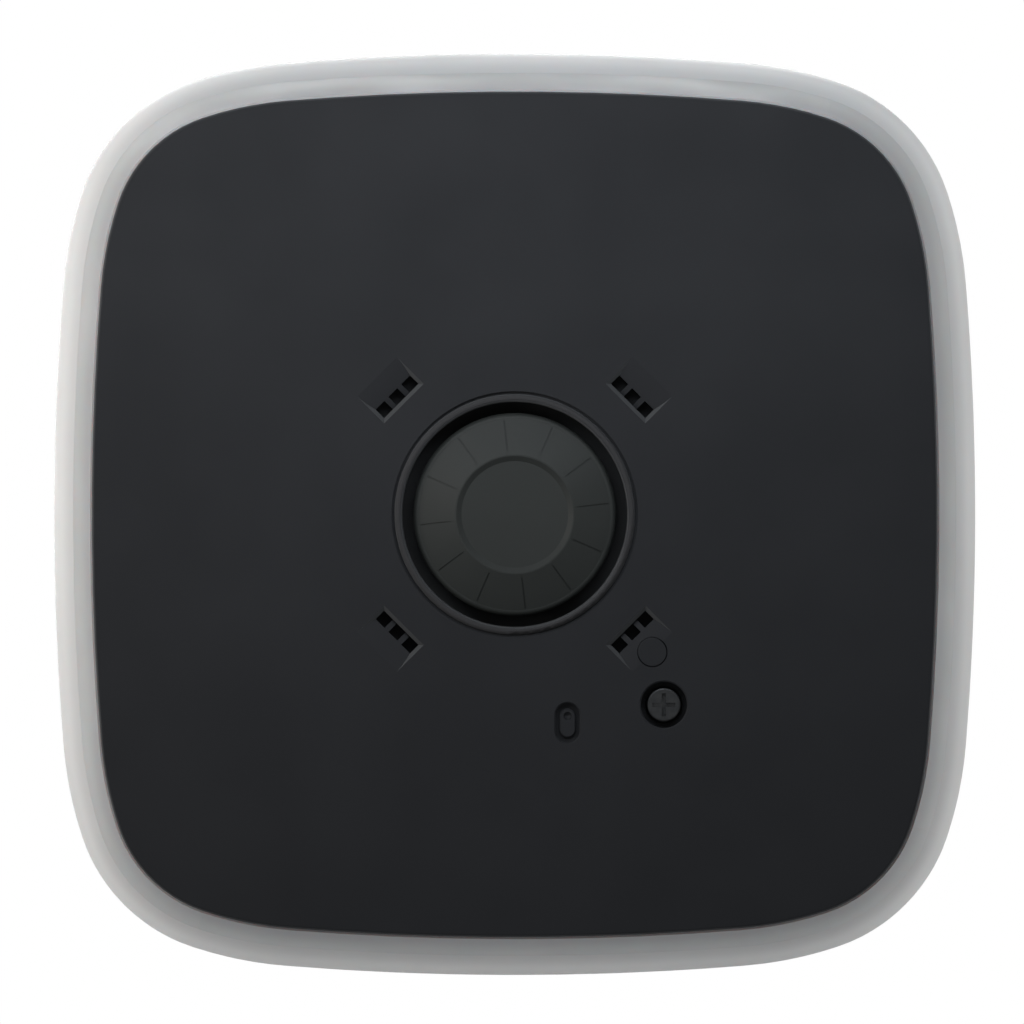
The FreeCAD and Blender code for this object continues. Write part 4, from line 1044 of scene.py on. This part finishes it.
@dataclass(frozen=True)
class RolledFloorPaint:
    """Matt pale paint, rolled on: it keeps the siren's shadow and turns white further out."""

    colour: str = "#dcdcdc"
    roughness: float = 0.9
    specular: float = 0.1
    # Distances from the middle, in metres, at which the white begins and is full.
    white_from: tuple[float, float] = (0.12, 0.45)

    def material(self) -> bpy.types.Material:
        """Makes the paint.

        Returns:
            The material.
        """
        made = bpy.data.materials.new(type(self).__name__)
        made.use_nodes = True
        tree = made.node_tree
        tree.nodes.clear()
        coords = add_node(tree, "ShaderNodeTexCoord").outputs["Object"]
        away = add_node(
            tree, "ShaderNodeVectorMath", {"operation": "LENGTH"}, {0: coords}
        ).outputs["Value"]
        far = add_node(
            tree, "ShaderNodeMapRange", smooth_step(*self.white_from), {"Value": away}
        ).outputs[0]
        share = add_node(
            tree, "ShaderNodeMath", {"operation": "MULTIPLY"}, {0: far, 1: seen(tree)}
        ).outputs[0]
        paint = add_node(
            tree,
            "ShaderNodeBsdfPrincipled",
            {
                "Base Color": linear(self.colour),
                "Roughness": self.roughness,
                "Specular IOR Level": self.specular,
            },
        )
        white = add_node(
            tree, "ShaderNodeEmission", {"Color": linear("#ffffff"), "Strength": 1.0}
        )
        mix = add_node(
            tree,
            "ShaderNodeMixShader",
            links={0: share, 1: paint.outputs[0], 2: white.outputs[0]},
        )
        add_node(tree, "ShaderNodeOutputMaterial", links={"Surface": mix.outputs[0]})
        return made


@dataclass
class Studio:
    """The plain pale floor, the soft lights, the world and the camera."""

    # The photograph's scale, its size, and where the wall plate's middle lies in it.
    pixel_mm: float = 0.21575
    picture_px: int = 1024
    centre_px: tuple[float, float] = (514.7, 514.4)
    # A very long lens, because the photograph shows no perspective.
    sensor_mm: float = 36.0
    lens_mm: float = 1000.0
    floor_z: float = -0.13
    floor_half: float = 1.2
    floor_paint: RolledFloorPaint = field(default_factory=RolledFloorPaint)
    fill_colour: str = "#fafbfc"
    fill_strength: float = 0.2
    lights: tuple[SoftLight, ...] = (
        SoftLight(
            "top_panel",
            place=(-0.06, -0.22, 0.14),
            target=(-0.02, 0.0, 0.07),
            size=(0.22, 0.12),
            power=0.235,
            colour="#f4f9ff",
            spread_deg=110.0,
        ),
        SoftLight(
            "right_panel",
            place=(0.1, -0.2, 0.18),
            target=(0.04, 0.0, 0.07),
            size=(0.12, 0.12),
            power=0.12,
            colour="#f0f7ff",
            spread_deg=110.0,
        ),
        SoftLight(
            "left_panel",
            place=(-0.3, -0.2, 0.06),
            target=(-0.06, 0.0, 0.04),
            size=(0.1, 0.2),
            power=0.235,
            colour="#fff8f2",
            spread_deg=110.0,
        ),
        SoftLight(
            "raking_light",
            place=(-0.75, -0.15, 0.75),
            target=(0.0, 0.01, 0.0),
            size=(0.3, 0.3),
            power=0.25,
        ),
        SoftLight(
            "cover_light",
            place=(-0.18, 1.6, 0.4),
            target=(0.0, 0.05, 0.0),
            size=(0.9, 0.9),
            power=19.0,
        ),
        SoftLight(
            "side_light",
            place=(1.3, 0.3, 0.1),
            target=(0.0, 0.03, 0.0),
            size=(0.8, 0.8),
            power=7.5,
        ),
        SoftLight(
            "low_light",
            place=(-0.9, 0.25, -0.05),
            target=(0.0, 0.03, 0.0),
            size=(0.5, 0.12),
            power=1.9,
        ),
    )

    def build_camera(self) -> None:
        """Sets the long-lens camera square to the wall plate, framed as the photograph is."""
        data = bpy.data.cameras.new("camera")
        data.lens, data.sensor_width = self.lens_mm, self.sensor_mm
        wide = self.picture_px * self.pixel_mm
        distance = wide * self.lens_mm / self.sensor_mm * MM
        # Everything from close to the camera to well behind the siren stays in view.
        data.clip_start, data.clip_end = distance / 100, distance * 2
        camera = bpy.data.objects.new("camera", data)
        bpy.context.scene.collection.objects.link(camera)
        middle = self.picture_px / 2
        aside, down = (c - middle for c in self.centre_px)
        camera.location = (-aside * self.pixel_mm * MM, -distance, down * self.pixel_mm * MM)
        camera.rotation_euler = (math.radians(90), 0.0, 0.0)
        bpy.context.scene.camera = camera

    def build_world(self) -> None:
        """Makes a world that is white where it is seen and a pale fill for the rest."""
        world = bpy.data.worlds.new("studio")
        bpy.context.scene.world = world
        world.use_nodes = True
        tree = world.node_tree
        tree.nodes.clear()
        fill = add_node(
            tree,
            "ShaderNodeBackground",
            {"Color": linear(self.fill_colour), "Strength": self.fill_strength},
        )
        white = add_node(
            tree, "ShaderNodeBackground", {"Color": linear("#ffffff"), "Strength": 1.0}
        )
        mix = add_node(
            tree,
            "ShaderNodeMixShader",
            links={0: seen(tree), 1: fill.outputs[0], 2: white.outputs[0]},
        )
        add_node(tree, "ShaderNodeOutputWorld", links={"Surface": mix.outputs[0]})

    def build_floor(self) -> None:
        """Makes the floor under the siren."""
        half = self.floor_half
        mesh = bpy.data.meshes.new("floor")
        corners = [(-half, -half), (half, -half), (half, half), (-half, half)]
        mesh.from_pydata([(x, y, self.floor_z) for x, y in corners], [], [(0, 1, 2, 3)])
        mesh.materials.append(self.floor_paint.material())
        floor = bpy.data.objects.new("floor", mesh)
        bpy.context.scene.collection.objects.link(floor)

    def build(self) -> None:
        """Makes everything round the siren."""
        self.build_camera()
        self.build_world()
        self.build_floor()
        for light in self.lights:
            light.build()
            LOG.info("light: %s", light.name)


def main() -> None:
    logging.basicConfig(level=logging.INFO, format="%(name)s: %(message)s")
    for left_over in list(bpy.data.objects):
        bpy.data.objects.remove(left_over)
    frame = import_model()
    bpy.context.scene.view_settings.view_transform = "Standard"
    Studio().build()
    nodes = frame["nodes"]
    for part in (Shell, Horn, Controls, Power, Electronics, Fixings):
        part(nodes).dress()


if __name__ == "__main__":
    main()
